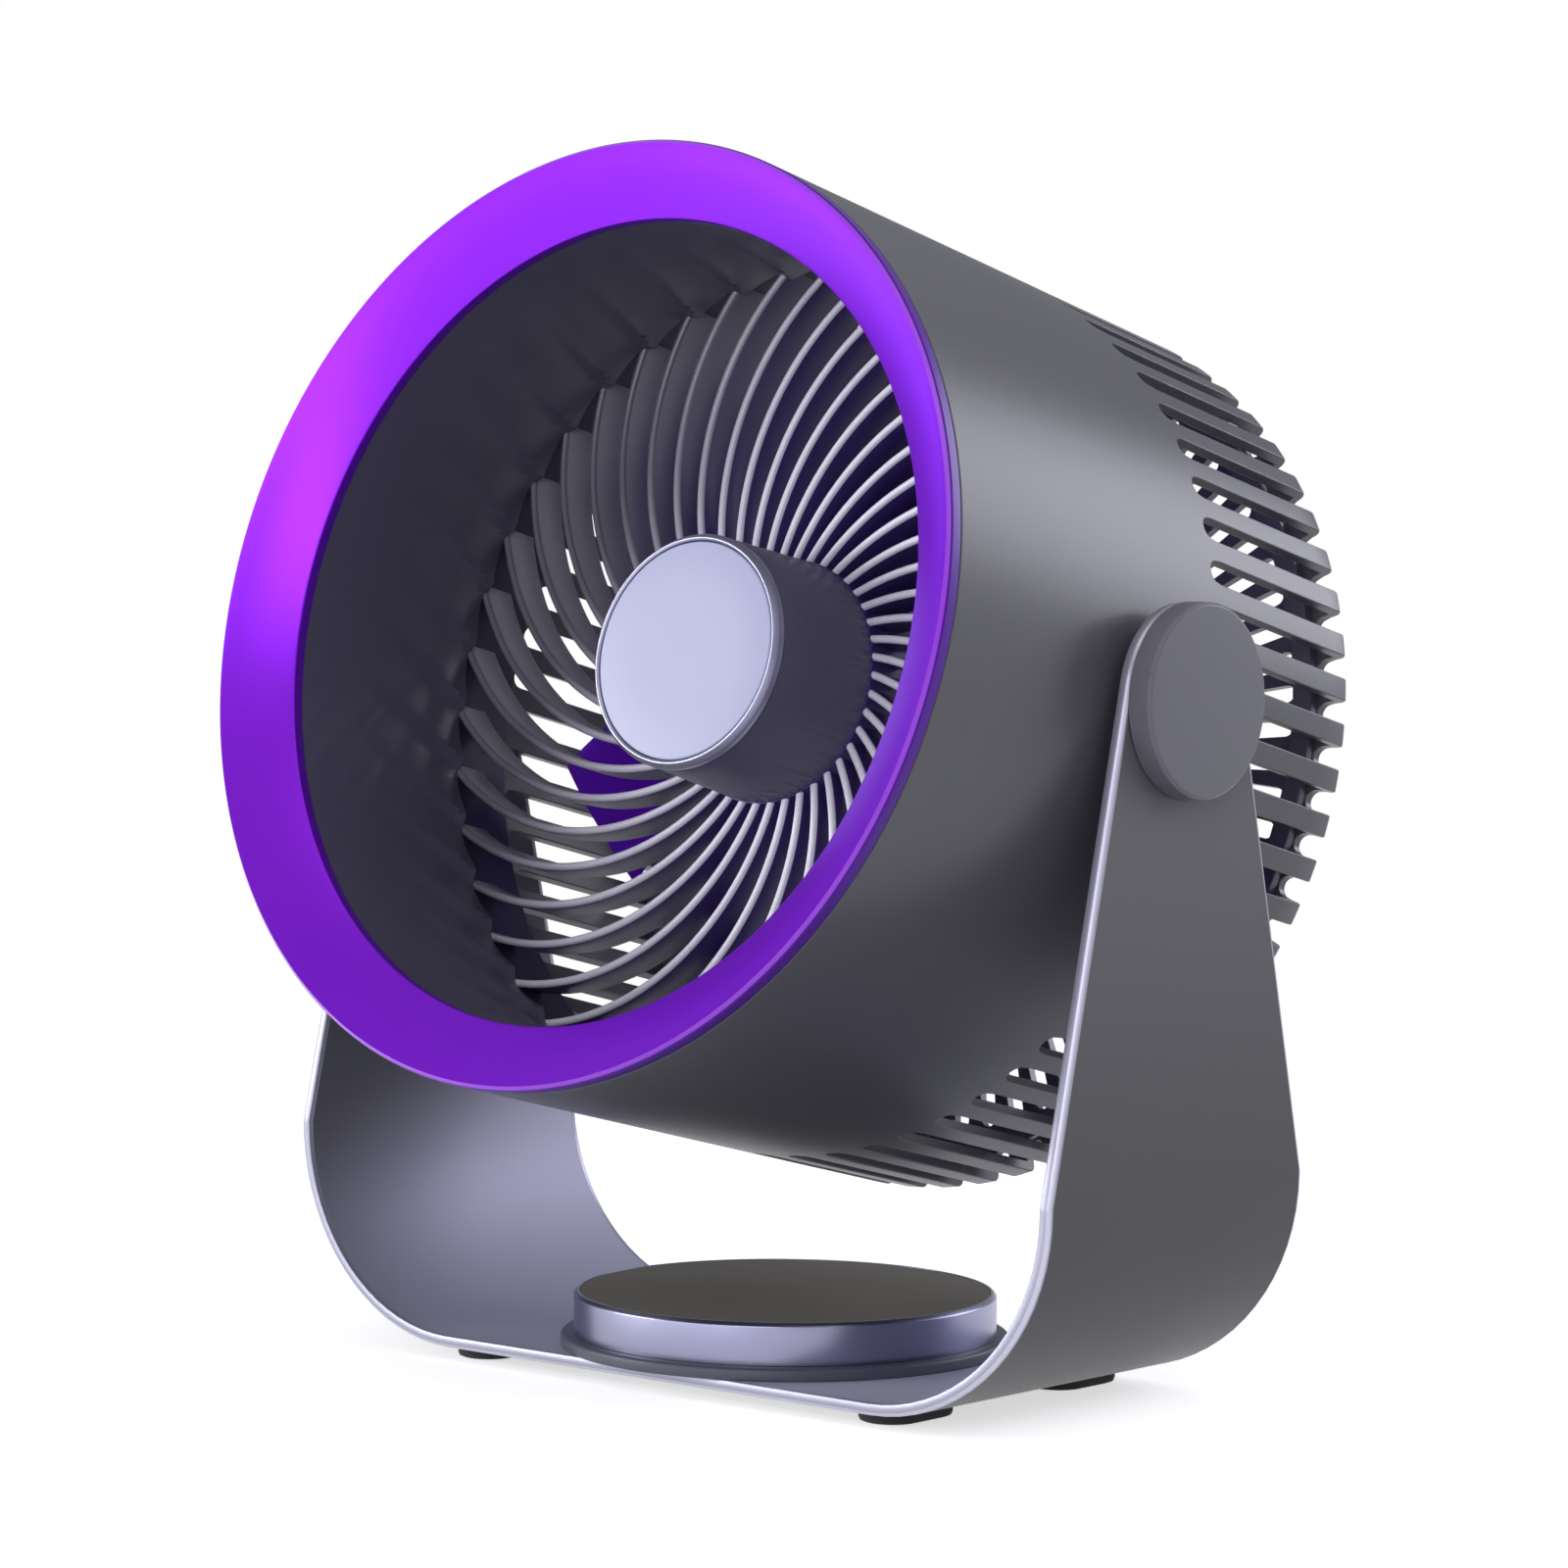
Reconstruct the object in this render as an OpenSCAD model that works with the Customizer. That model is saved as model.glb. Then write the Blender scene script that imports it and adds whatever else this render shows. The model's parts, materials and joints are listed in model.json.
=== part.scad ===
// Desk and wall air circulator fan: a slotted drum that tilts in a U-shaped band.
// +Z is up, the fan blows toward -Y, and the origin lies on the standing surface
// below the middle of the whole fan.

/* [Head] */
// Angle by which the front of the head is raised above level
head_tilt = 13.5; // [0:0.5:40]
// Outer radius of the drum
drum_r = 95.8; // [94:0.1:104]
// Wall of the drum
drum_wall = 2.2; // [1.8:0.1:2.6]
// Length of the drum ahead of the pivot axis
drum_front = 67.3; // [62:0.1:72]
// Length of the drum behind the pivot axis
drum_rear = 64; // [63:0.1:72]
// Thickness of the drum's rear wall
rear_wall = 2.4; // [1.8:0.1:3]
// Width of the solid rim around the opening in the drum's rear wall
rear_rim_w = 9.8; // [8.5:0.1:12]

/* [Slots] */
// Number of air slots around the drum
slot_count = 63; // [40:1:70]
// Width of an air slot
slot_w = 4.8; // [3:0.1:6]
// Distance of the slots' front ends behind the pivot axis
slot_lead = 15.5; // [14:0.1:40]
// How far the slots reach in over the rear wall
slot_in = 4.8; // [3:0.1:5]
// Turn of the first slot from the pivot side
slot_turn = 0.9; // [0:0.1:8]

/* [Front ring] */
// How far the ring's front edge stands ahead of the drum
ring_reach = 3.6; // [3:0.1:6]
// Width of the ring's face from its front edge in to its inner edge
ring_face_w = 13.2; // [11:0.1:16]
// How far the ring's inner edge lies behind its front edge
ring_recess = 8.5; // [6:0.1:10]
// Bevel at the ring's outer front edge
ring_bevel = 0.8; // [0.4:0.1:1.5]
// Wall of the ring
ring_wall = 1.8; // [1.4:0.1:2.2]
// Length of the ring's spigot inside the drum
ring_spigot = 6; // [4:0.1:8]

/* [Duct and guide vanes] */
// Step from the vanes' outer ring in to the duct's rear edge
duct_step = 3.65; // [3.2:0.05:6]
// Wall of the duct
duct_wall = 1.8; // [1.4:0.1:2]
// Number of guide vanes
vane_count = 42; // [24:1:48]
// Thickness of a vane
vane_t = 1.5; // [1:0.1:1.8]
// Depth of a vane from front to back
vane_depth = 9; // [6:0.1:11]
// Depth of the vanes' hub and outer ring
vane_ring_depth = 16; // [12:0.1:17]
// Place of the vanes' front edges ahead of the pivot axis
vane_front = 5; // [4:0.1:8]
// Radius of the arc that a vane follows
vane_bend_r = 60.5; // [56:0.5:70]
// Angle between a vane and the radius at the hub
vane_lean = 18.7; // [14:0.1:22]
// Turn of the first vane from the pivot side
vane_turn = 4.6; // [0:0.1:8]
// Wall of the vanes' outer ring
vane_ring_t = 2.4; // [1.8:0.1:2.6]

/* [Hub nose] */
// Radius of the hub where the vanes start
hub_base_r = 25.8; // [25:0.1:28]
// Radius of the hub at its front
hub_tip_r = 24.4; // [23:0.1:24.9]
// Place of the hub's front face ahead of the pivot axis
hub_front = 34; // [28:0.1:40]
// Wall of the hub
hub_wall = 2; // [1.5:0.1:2.5]
// Width of the metal rim around the cap disc
cap_rim_w = 1.5; // [1:0.1:2.5]

/* [Impeller and motor] */
// Number of blades
blade_count = 5; // [3:1:7]
// Gap between the blade tips and the duct's rear radius
blade_gap = 6.5; // [4:0.1:12]
// Place of the blades' front edges behind the pivot axis
blade_lead = 22; // [20:0.1:23]
// Depth of the blades from front to back
blade_depth = 20; // [14:0.1:20]
// Thickness of a blade
blade_t = 2; // [1.6:0.1:2.5]
// Turn of a blade over its depth
blade_twist = 17; // [10:0.5:30]
// Forward sweep of a blade's tip
blade_sweep = 17; // [0:0.5:25]
// Turn of the first blade from the pivot side
blade_turn = 30; // [0:0.5:72]
// Radius of the impeller's hub cup
cup_r = 24; // [23.5:0.1:25]
// Wall of the hub cup
cup_wall = 2; // [1.6:0.1:2.2]
// How far the hub cup reaches behind the blades
cup_skirt = 0.4; // [0.2:0.1:2]
// Radius of the motor shaft
shaft_r = 1.5; // [1.2:0.1:1.8]
// Outer radius of a shaft bearing
bearing_r = 4; // [3.6:0.1:4.4]
// Width of a shaft bearing
bearing_w = 4; // [3:0.1:4.5]
// Outer radius of the stator
stator_r = 17.6; // [16.5:0.1:17.8]
// Number of stator teeth
tooth_count = 9; // [6:3:12]

/* [Rear cover and controls] */
// Number of slots in the rear grille's outer row
grille_count = 72; // [48:2:76]
// Width of a slot in the rear grille
grille_slot_w = 3.6; // [2.5:0.1:3.8]
// Inner end radius of the rear grille's inner row
grille_in_r = 38; // [37:0.5:44]
// Inner end radius of the rear grille's outer row
grille_mid_r = 58; // [56:0.5:64]
// Width of the plain band between the rear grille's rows
grille_band_w = 4; // [2:0.5:6]
// Width of the plain rim outside the rear grille's slots
grille_rim_w = 4.5; // [3:0.1:9]
// Outer radius of the control pod
pod_r = 34; // [33:0.1:35]
// Wall of the control pod
pod_wall = 2; // [1.6:0.1:2.2]
// Depth of the control pod behind the impeller
pod_depth = 16.4; // [16:0.1:17]
// Radius of the power button
button_r = 9; // [7:0.1:10]
// Travel of the power button
button_travel = 0.9; // [0.5:0.1:1]
// Width of the charging inlet
inlet_w = 9; // [8.9:0.1:9.4]
// Height of the charging inlet
inlet_h = 3.2; // [3.1:0.1:3.6]
// Number of indicator lights
light_count = 4; // [1:1:5]

/* [Band] */
// Height of the pivot axis above the standing surface
pivot_h = 142.2; // [139:0.1:160]
// Thickness of the band
band_t = 2.5; // [2:0.1:3]
// Depth of the band's floor from front to back
band_d = 83.4; // [80:0.1:100]
// Gap between the drum and each arm
arm_gap = 3.1; // [2.4:0.1:5]
// Outer radius of the band's lower corners
corner_r = 44; // [30:0.5:48]
// Height at which the arms start to narrow
taper_z = 47; // [46:0.5:60]
// Radius of the arms' round tops
arm_top_r = 18.9; // [17:0.1:24]
// Depth of the bright trim on the band's edges
trim_w = 1.2; // [0.8:0.1:2]
// Radius of a pivot cap
knob_r = 19.2; // [17:0.1:22]
// Thickness of a pivot cap
knob_t = 5.4; // [5.2:0.1:10]

/* [Base] */
// Height of the feet
foot_h = 2.5; // [2.2:0.1:5]
// Length of a foot
foot_l = 22; // [16:0.5:26]
// Width of a foot
foot_w = 13; // [8:0.5:15]
// Radius of the base puck
puck_r = 44.1; // [42:0.1:48]
// Height of the puck's top above the standing surface
puck_top = 16.3; // [15.8:0.1:18]
// Place of the puck's middle behind the pivot
puck_back = 0.6; // [0:0.1:3]
// Height of the puck's lower tier
tier_h = 2.6; // [2.4:0.1:3]
// How far the lower tier stands out past the puck
tier_out = 2.7; // [1:0.1:4]
// Wall of the puck's shell
puck_wall = 2; // [1.6:0.1:2.4]

/* [Hidden] */
$fn = 96;

// Clearances: between fixed pieces, between turning ones, and overrun of a cut
seat = 0.05;
run = 0.05;
slide = 0.15;
over = 1;

dark_grey = "#5B5A62";
deep_grey = "#35333F";
violet = "#7A12E0";
silver = "#C9CBDD";
lavender = "#C8CBE6";
steel = "#9A9CA0";
brass = "#B89A52";
copper = "#B4693A";
board_green = "#1F5B3A";

// Reach of the head from the pivot, which sets the origin below the whole fan's middle
ring_front = drum_front + ring_reach;
ring_edge_r = drum_r - ring_bevel;
front_reach = ring_front * cos(head_tilt) + ring_edge_r * sin(head_tilt);
rear_edge_bevel = 1.6;
rear_reach = drum_rear * cos(head_tilt) + (drum_r - rear_edge_bevel) * sin(head_tilt);
pivot_y = (front_reach - rear_reach) / 2;

drum_in_r = drum_r - drum_wall;
rear_open_r = drum_r - rear_rim_w;
ring_in_r = ring_edge_r - ring_face_w;
arm_in = drum_r + arm_gap;
arm_out = arm_in + band_t;
floor_top = foot_h + band_t;

vane_rear = vane_front - vane_ring_depth;
vane_ring_r = drum_in_r - seat;
vane_ring_in = vane_ring_r - vane_ring_t;
duct_rear_r = vane_ring_in - duct_step;
duct_flange_t = 2.4;
duct_slack = 0.25;
ring_lip = 4;
duct_front = ring_front - ring_recess - ring_lip;
ledge_t = 2;

grille_face = -drum_rear;
grille_back = grille_face + rear_wall;
grille_out_r = rear_open_r - grille_rim_w;
pod_front = grille_back + pod_depth;
blade_hub_lead = 3;
blade_r = duct_rear_r - blade_gap;
cup_front = blade_hub_lead - blade_lead;
cup_back = -blade_lead - blade_depth - cup_skirt;

// Places a piece on the head: z runs forward along the fan's axis, y up across the drum
module on_head() translate([0, pivot_y, pivot_h]) rotate([90 - head_tilt, 0, 0]) children();

// Places a piece on the pivot axis: z runs outward to the side given by 1 or -1
module on_pivot(side) translate([0, pivot_y, pivot_h]) rotate([0, side * 90, 0]) children();

// Places a piece on the middle of the base
module on_base() translate([0, pivot_y + puck_back, 0]) children();

// Round tube between two places along z
module tube(outer, inner, low, high) translate([0, 0, low]) difference() {
    cylinder(r = outer, h = high - low);
    translate([0, 0, -over]) cylinder(r = inner, h = high - low + 2 * over);
}

module disc(radius, low, high) translate([0, 0, low]) cylinder(r = radius, h = high - low);

// Repeats a piece around z
module ring_of(count, turn = 0) for (i = [0 : count - 1]) rotate(turn + i * 360 / count) children();

// Flat outline with round ends along x, between two end points on x
module stadium(x0, x1, width) {
    translate([x0 + width / 2, 0]) circle(d = width);
    translate([x1 - width / 2, 0]) circle(d = width);
    translate([x0 + width / 2, -width / 2]) square([x1 - x0 - width, width]);
}

// Plate between two lines of points, left and right, that run outward at the front edge.
// It goes from low to high along z and turns by twist from front to back.
module twisted_plate(left, right, low, high, twist, slices) {
    n = len(left);
    layer = 2 * n;
    points = [for (k = [0 : slices])
        let (turn = twist * (1 - k / slices), c = cos(turn), s = sin(turn))
        for (p = concat(left, right))
            [p[0] * c - p[1] * s, p[0] * s + p[1] * c, low + (high - low) * k / slices]];
    sides = [for (k = [0 : slices - 1], i = [0 : n - 2], b = [k * layer + i])
        each concat(quad(b, b + layer, b + layer + 1, b + 1),
                    quad(b + n, b + n + 1, b + n + layer + 1, b + n + layer))];
    ends = [for (k = [0 : slices - 1], b = [k * layer])
        each concat(quad(b, b + n, b + n + layer, b + layer),
                    quad(b + n - 1, b + layer + n - 1, b + layer + 2 * n - 1, b + 2 * n - 1))];
    top = slices * layer;
    caps = [for (i = [0 : n - 2])
        each concat(quad(i, i + 1, i + n + 1, i + n),
                    quad(top + i, top + i + n, top + i + n + 1, top + i + 1))];
    polyhedron(points, concat(sides, ends, caps), convexity = 4);
}
function quad(a, b, c, d) = [[a, c, b], [a, d, c]];

// Band: a U in front view, cut by a tapering side view with a round top

module u_solid(half, low, radius, top) {
    translate([-half, low + radius]) square([2 * half, top - low - radius]);
    translate([-(half - radius), low]) square([2 * (half - radius), radius]);
    for (side = [-1, 1]) translate([side * (half - radius), low + radius]) circle(radius);
}

module u_bar() {
    top = pivot_h + arm_top_r + over;
    translate([0, pivot_y, 0]) rotate([90, 0, 0]) linear_extrude(band_d + over, center = true)
        difference() {
            u_solid(arm_out, foot_h, corner_r, top);
            u_solid(arm_in, floor_top, corner_r - band_t, top + over);
        }
}

// Side view of the band, drawn in from its edges by inset. The straight sides end just
// inside the round top.
arm_overlap = 0.02;

module side_view(inset, half_x) {
    half = band_d / 2 - inset;
    round_r = arm_top_r - inset;
    line_r = round_r - arm_overlap;
    rise = pivot_h - taper_z;
    reach = norm([half, rise]);
    heading = atan2(rise, -half) - asin(line_r / reach);
    length = sqrt(reach * reach - line_r * line_r);
    tangent = [half + length * cos(heading), taper_z + length * sin(heading)];
    translate([0, pivot_y, 0]) rotate([90, 0, 90]) linear_extrude(2 * half_x, center = true) {
        polygon([[-half, 0], [half, 0], [half, taper_z], tangent,
                 [-tangent[0], tangent[1]], [-half, taper_z]]);
        translate([0, pivot_h]) circle(round_r);
    }
}

screw_spread = 24;
base_screw_count = 3;
base_screw_r = 2;
screw_slack = 0.2;
screw_head_r = 3.6;
screw_head_t = 1.4;
screw_bite = 6;

module at_base_screws() on_base()
    ring_of(base_screw_count, 90 / base_screw_count) translate([screw_spread, 0, 0]) children();

module stand_band() color(dark_grey) difference() {
    intersection() {
        u_bar();
        side_view(trim_w + seat, arm_out + over);
    }
    at_base_screws() cylinder(r = base_screw_r + screw_slack, h = floor_top + over);
    for (side = [-1, 1]) on_pivot(side) disc(bush_r + seat, arm_in - over, arm_out + over);
}

module edge_trim() color(silver) difference() {
    intersection() {
        u_bar();
        side_view(0, arm_out + over);
    }
    side_view(trim_w, arm_out + 2 * over);
}

// Feet: soft pads under the floor's corners
foot_inset = 4;

module foot_pads() color("#2A292C")
    for (side = [-1, 1], end = [-1, 1])
        translate([side * (arm_out - corner_r - foot_w / 2 + foot_inset),
                   pivot_y + end * (band_d / 2 - foot_inset - foot_l / 2), 0])
            linear_extrude(foot_h) rotate(90) stadium(-foot_l / 2, foot_l / 2, foot_w);

// Base puck: lower tier, ballast, shell and soft top
tier_top = floor_top + tier_h;
ballast_r = puck_r - puck_wall - seat;
ballast_h = 5.6;
top_t = 1;
top_rim = 1.2;

module base_plate() color(deep_grey) difference() {
    on_base() disc(puck_r + tier_out, floor_top, tier_top);
    at_base_screws() cylinder(r = base_screw_r + screw_slack, h = tier_top + over);
}

module ballast_disc() color(steel) difference() {
    on_base() disc(ballast_r, tier_top, tier_top + ballast_h);
    at_base_screws() cylinder(r = base_screw_r + seat, h = tier_top + screw_bite);
}

module base_housing() color(dark_grey) on_base() rotate_extrude() polygon([
    [0, puck_top - top_t], [puck_r - top_rim, puck_top - top_t], [puck_r - top_rim, puck_top],
    [puck_r - top_edge, puck_top], [puck_r, puck_top - top_edge], [puck_r, tier_top],
    [puck_r - puck_wall, tier_top], [puck_r - puck_wall, puck_top - top_t - puck_wall],
    [0, puck_top - top_t - puck_wall]]);
top_edge = 0.6;

module base_top() color("#57554C") on_base() disc(puck_r - top_rim - seat, puck_top - top_t, puck_top);

module base_screws() color(steel) at_base_screws() {
    disc(screw_head_r, foot_h - screw_head_t, foot_h);
    disc(base_screw_r, foot_h - screw_head_t, tier_top + screw_bite / 2);
}

// Pivots: a bolt in each side of the drum turns in a bush in the arm
bolt_r = 4;
bush_r = 5.6;
boss_r = 11;
boss_rise = 1.2;
boss_in_r = 6;
boss_in = vane_ring_in;
insert_r = 4;
thread_r = 2.5;
bolt_head_r = 8;
bolt_head_t = 2.4;
thread_l = 3.6;
knob_wall = 1.8;
knob_edge = 0.7;
socket_r = 2.5;
socket_depth = 1.4;

module pivot_bush(side) color("#D8D2C0") on_pivot(side) tube(bush_r, bolt_r + run, arm_in, arm_out);

module friction_washer(side) color("#2A292C")
    on_pivot(side) tube(boss_r, bolt_r + slide, drum_r + boss_rise + run, arm_in);

module pivot_insert(side) color(brass)
    on_pivot(side) tube(insert_r, thread_r + seat, boss_in, drum_r + boss_rise);

module pivot_bolt(side) color(steel) on_pivot(side) difference() {
    union() {
        disc(thread_r, drum_r + boss_rise - thread_l, drum_r + boss_rise);
        disc(bolt_r, drum_r + boss_rise, arm_out + run);
        disc(bolt_head_r, arm_out + run, arm_out + run + bolt_head_t);
    }
    translate([0, 0, arm_out + run + bolt_head_t - socket_depth])
        cylinder(r = socket_r, h = socket_depth + over, $fn = 6);
}

module pivot_cap(side) color(dark_grey) on_pivot(side) rotate_extrude() polygon([
    [0, arm_out + knob_t - knob_wall], [0, arm_out + knob_t],
    [knob_r - knob_edge, arm_out + knob_t], [knob_r, arm_out + knob_t - knob_edge],
    [knob_r, arm_out], [knob_r - knob_wall, arm_out],
    [knob_r - knob_wall, arm_out + knob_t - knob_wall]]);

module arm_bush_left() pivot_bush(-1);
module arm_bush_right() pivot_bush(1);
module friction_washer_left() friction_washer(-1);
module friction_washer_right() friction_washer(1);
module pivot_insert_left() pivot_insert(-1);
module pivot_insert_right() pivot_insert(1);
module pivot_bolt_left() pivot_bolt(-1);
module pivot_bolt_right() pivot_bolt(1);
module pivot_cap_left() pivot_cap(-1);
module pivot_cap_right() pivot_cap(1);

// Drum: one cylinder with slots that run over its rear edge
grille_screw_count = 4;
grille_screw_r = 1.2;
grille_screw_place = (rear_open_r + drum_r - slot_in) / 2;

module slot_cut() {
    translate([drum_in_r - over / 2, 0, 0]) rotate([90, 90, 90])
        linear_extrude(drum_wall + over)
            stadium(slot_lead, drum_rear + slot_w, slot_w);
    translate([drum_r - slot_in + slot_w / 2, 0, grille_face - over])
        cylinder(d = slot_w, h = rear_wall + 2 * over);
}

module at_grille_screws() ring_of(grille_screw_count, 180 / grille_screw_count)
    translate([grille_screw_place, 0, 0]) children();

module drum_shell() color(dark_grey) on_head() difference() {
    union() {
        rotate_extrude() polygon([
            [drum_in_r, drum_front], [drum_r, drum_front],
            [drum_r, grille_face + rear_edge_bevel], [drum_r - rear_edge_bevel, grille_face],
            [rear_open_r, grille_face], [rear_open_r, grille_back],
            [drum_in_r, grille_back], [drum_in_r, vane_rear - ledge_t],
            [vane_ring_in, vane_rear - ledge_t], [vane_ring_in, vane_rear],
            [drum_in_r, vane_rear]]);
        for (side = [-1, 1]) rotate([0, side * 90, 0]) {
            disc(boss_in_r, boss_in, drum_r);
            disc(boss_r, drum_in_r + drum_wall / 4, drum_r + boss_rise);
        }
    }
    ring_of(slot_count, slot_turn) slot_cut();
    for (side = [-1, 1]) rotate([0, side * 90, 0])
        disc(insert_r + seat, boss_in - over, drum_r + boss_rise + over);
    at_grille_screws() disc(grille_screw_r + screw_slack, grille_face - over, grille_back + over);
}

// Front ring: a cone between two round edges, with a spigot into the drum
module front_ring() color(violet) on_head() rotate_extrude() polygon([
    [ring_in_r, ring_front - ring_recess], [ring_edge_r, ring_front],
    [drum_r, ring_front - ring_bevel], [drum_r, drum_front],
    [drum_in_r - seat, drum_front], [drum_in_r - seat, drum_front - ring_spigot],
    [drum_in_r - seat - ring_wall, drum_front - ring_spigot],
    [drum_in_r - seat - ring_wall, cone_back(drum_in_r - seat - ring_wall)],
    [ring_in_r + ring_wall, cone_back(ring_in_r + ring_wall)],
    [ring_in_r + ring_wall, duct_front], [ring_in_r, duct_front]]);
function cone_back(r) = ring_front - ring_recess - ring_wall * ring_skew_share
    + ring_recess * (r - ring_in_r) / (ring_edge_r - ring_in_r);
ring_skew_share = 1.3;

// Duct: widens from the ring to the vanes and ends in a flange on the drum
module inner_duct() color(deep_grey) on_head() difference() {
    rotate_extrude() polygon([
        [ring_in_r, duct_front], [ring_in_r + duct_wall, duct_front],
        [duct_rear_r + duct_wall, vane_front + duct_flange_t],
        [drum_in_r - duct_slack, vane_front + duct_flange_t], [drum_in_r - duct_slack, vane_front],
        [duct_rear_r, vane_front]]);
    boss_cuts();
}

// Room for the bosses inside the drum's sides
module boss_cuts() for (side = [-1, 1]) rotate([0, side * 90, 0])
    disc(boss_in_r + slide, vane_ring_in - over, vane_ring_r + over);

// Guide vanes: arcs from the hub ring to the outer ring
vane_sink = 1.2;
vane_centre = [hub_base_r - vane_bend_r * sin(vane_lean), -vane_bend_r * cos(vane_lean)];
vane_start = vane_heading(hub_base_r - vane_sink);
vane_end = vane_heading(vane_ring_in + vane_sink);
hub_back_t = 1.6;
// Heading from the arc's centre to its point at radius r from the fan's axis
function vane_heading(r) = atan2(-vane_centre[1], -vane_centre[0])
    - acos((norm(vane_centre) ^ 2 + vane_bend_r ^ 2 - r ^ 2)
           / (2 * norm(vane_centre) * vane_bend_r));

module vane_outline() translate(vane_centre) intersection() {
    difference() {
        circle(vane_bend_r + vane_t / 2);
        circle(vane_bend_r - vane_t / 2);
    }
    polygon([[0, 0], for (share = [0, 0.5, 1])
        2 * vane_bend_r * [cos(vane_start + (vane_end - vane_start) * share),
                           sin(vane_start + (vane_end - vane_start) * share)]]);
}

module guide_vanes() color(deep_grey) on_head() {
    difference() {
        union() {
            translate([0, 0, vane_rear]) linear_extrude(vane_ring_depth) {
                difference() {
                    circle(vane_ring_r);
                    circle(vane_ring_in);
                }
                difference() {
                    circle(hub_base_r);
                    circle(hub_base_r - hub_wall);
                }
            }
            translate([0, 0, vane_front - vane_depth]) linear_extrude(vane_depth)
                ring_of(vane_count, vane_turn) vane_outline();
        }
        boss_cuts();
    }
    disc(hub_base_r, vane_rear, vane_rear + hub_back_t);
}

// Hub nose: a hollow cone with a metal rim and a flat disc
nose_spigot = 3;
nose_spigot_t = 1.5;
nose_base = vane_front;
nose_spigot_r = hub_base_r - hub_wall - seat;
rim_depth = 2.6;
rim_bevel = 0.9;
disc_sink = 0.3;
disc_gap = 0.3;
nose_face = hub_front - rim_depth;

module hub_nose() color(dark_grey) on_head() rotate_extrude() polygon([
    [0, nose_face], [hub_tip_r, nose_face], [hub_base_r, nose_base], [nose_spigot_r, nose_base],
    [nose_spigot_r, nose_base - nose_spigot],
    [nose_spigot_r - nose_spigot_t, nose_base - nose_spigot],
    [hub_tip_r - hub_wall - nose_spigot_t, nose_face - hub_wall], [0, nose_face - hub_wall]]);

module cap_rim() color(silver) on_head() rotate_extrude() polygon([
    [hub_tip_r, nose_face], [hub_tip_r, hub_front - rim_bevel],
    [hub_tip_r - rim_bevel, hub_front], [hub_tip_r - cap_rim_w, hub_front],
    [hub_tip_r - cap_rim_w, nose_face]]);

module cap_disc() color(lavender) on_head()
    disc(hub_tip_r - cap_rim_w - disc_gap, nose_face, hub_front - disc_sink);

// Impeller: a cup with swept, twisted blades
blade_steps = 8;
blade_slices = 4;
blade_sink = 1;
boss_l = 2.5;
shaft_boss_r = 4;

function blade_angle(r) = blade_sweep * pow(max(r - cup_r, 0) / (blade_r - cup_r), 2);
function blade_side(sign) = [for (i = [0 : blade_steps])
    let (r = cup_r - blade_sink + (blade_r - cup_r + blade_sink) * i / blade_steps,
         a = blade_angle(r) + sign * asin(blade_t / 2 / r))
    r * [cos(a), sin(a)]];

module impeller() color(violet) on_head() difference() {
    union() {
        tube(cup_r, cup_r - cup_wall, cup_back, cup_front);
        disc(cup_r, cup_front - cup_wall, cup_front);
        disc(shaft_boss_r, cup_front - cup_wall - boss_l, cup_front);
        ring_of(blade_count, blade_turn)
            twisted_plate(blade_side(1), blade_side(-1),
                          -blade_lead - blade_depth, -blade_lead, blade_twist, blade_slices);
    }
    disc(shaft_r + seat, cup_front - cup_wall - boss_l - over, cup_front - cup_wall / 2);
}

// Motor: rotor ring and magnets in the cup, stator on the pod's bearing tube
rotor_t = 1.6;
magnet_t = 1.9;
rotor_l = 18;
rotor_back = cup_back + over;
tube_wall = 1.6;
tube_r = bearing_r + tube_wall;
tube_front = cup_front - cup_wall - boss_l - over;
core_in_r = tube_r + seat;
core_yoke = 2.6;
tooth_w = 3;
pole_t = 1.8;
pole_gap_share = 0.22;
core_l = 14;
core_back = rotor_back + (rotor_l - core_l) / 2;
wire_t = 1.5;

module rotor_ring() color(steel) on_head()
    tube(cup_r - cup_wall - seat, cup_r - cup_wall - seat - rotor_t, rotor_back, rotor_back + rotor_l);

module magnet_ring() color("#3C3C40") on_head()
    tube(cup_r - cup_wall - 2 * seat - rotor_t, cup_r - cup_wall - 2 * seat - rotor_t - magnet_t,
         rotor_back, rotor_back + rotor_l);

module motor_shaft() color(steel) on_head()
    disc(shaft_r, pod_front - pod_wall, cup_front - cup_wall / 2 - seat);

module stator_core() color("#7C7E84") on_head() {
    tube(core_in_r + core_yoke, core_in_r, core_back, core_back + core_l);
    difference() {
        tube(stator_r, stator_r - pole_t, core_back, core_back + core_l);
        ring_of(tooth_count, 180 / tooth_count)
            translate([stator_r - 2 * pole_t, -stator_r * pole_gap_share / 2, core_back - over])
                cube([3 * pole_t, stator_r * pole_gap_share, core_l + 2 * over]);
    }
    ring_of(tooth_count) translate([core_in_r + core_yoke / 2, -tooth_w / 2, core_back])
        cube([stator_r - pole_t / 2 - core_in_r - core_yoke / 2, tooth_w, core_l]);
}

module stator_windings() color(copper) on_head() ring_of(tooth_count) difference() {
    coil_in = core_in_r + core_yoke + 2 * seat;
    coil_half = tooth_w / 2 + wire_t;
    coil_out = sqrt((stator_r - pole_t) ^ 2 - coil_half ^ 2) - 2 * seat;
    translate([coil_in, -coil_half, core_back - wire_t])
        cube([coil_out - coil_in, 2 * coil_half, core_l + 2 * wire_t]);
    translate([coil_in - over, -tooth_w / 2 - seat, core_back - seat])
        cube([coil_out - coil_in + 2 * over, tooth_w + 2 * seat, core_l + 2 * seat]);
}

module bearing(front) color(steel) on_head()
    tube(bearing_r - seat, shaft_r + run, front - bearing_w, front);

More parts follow.
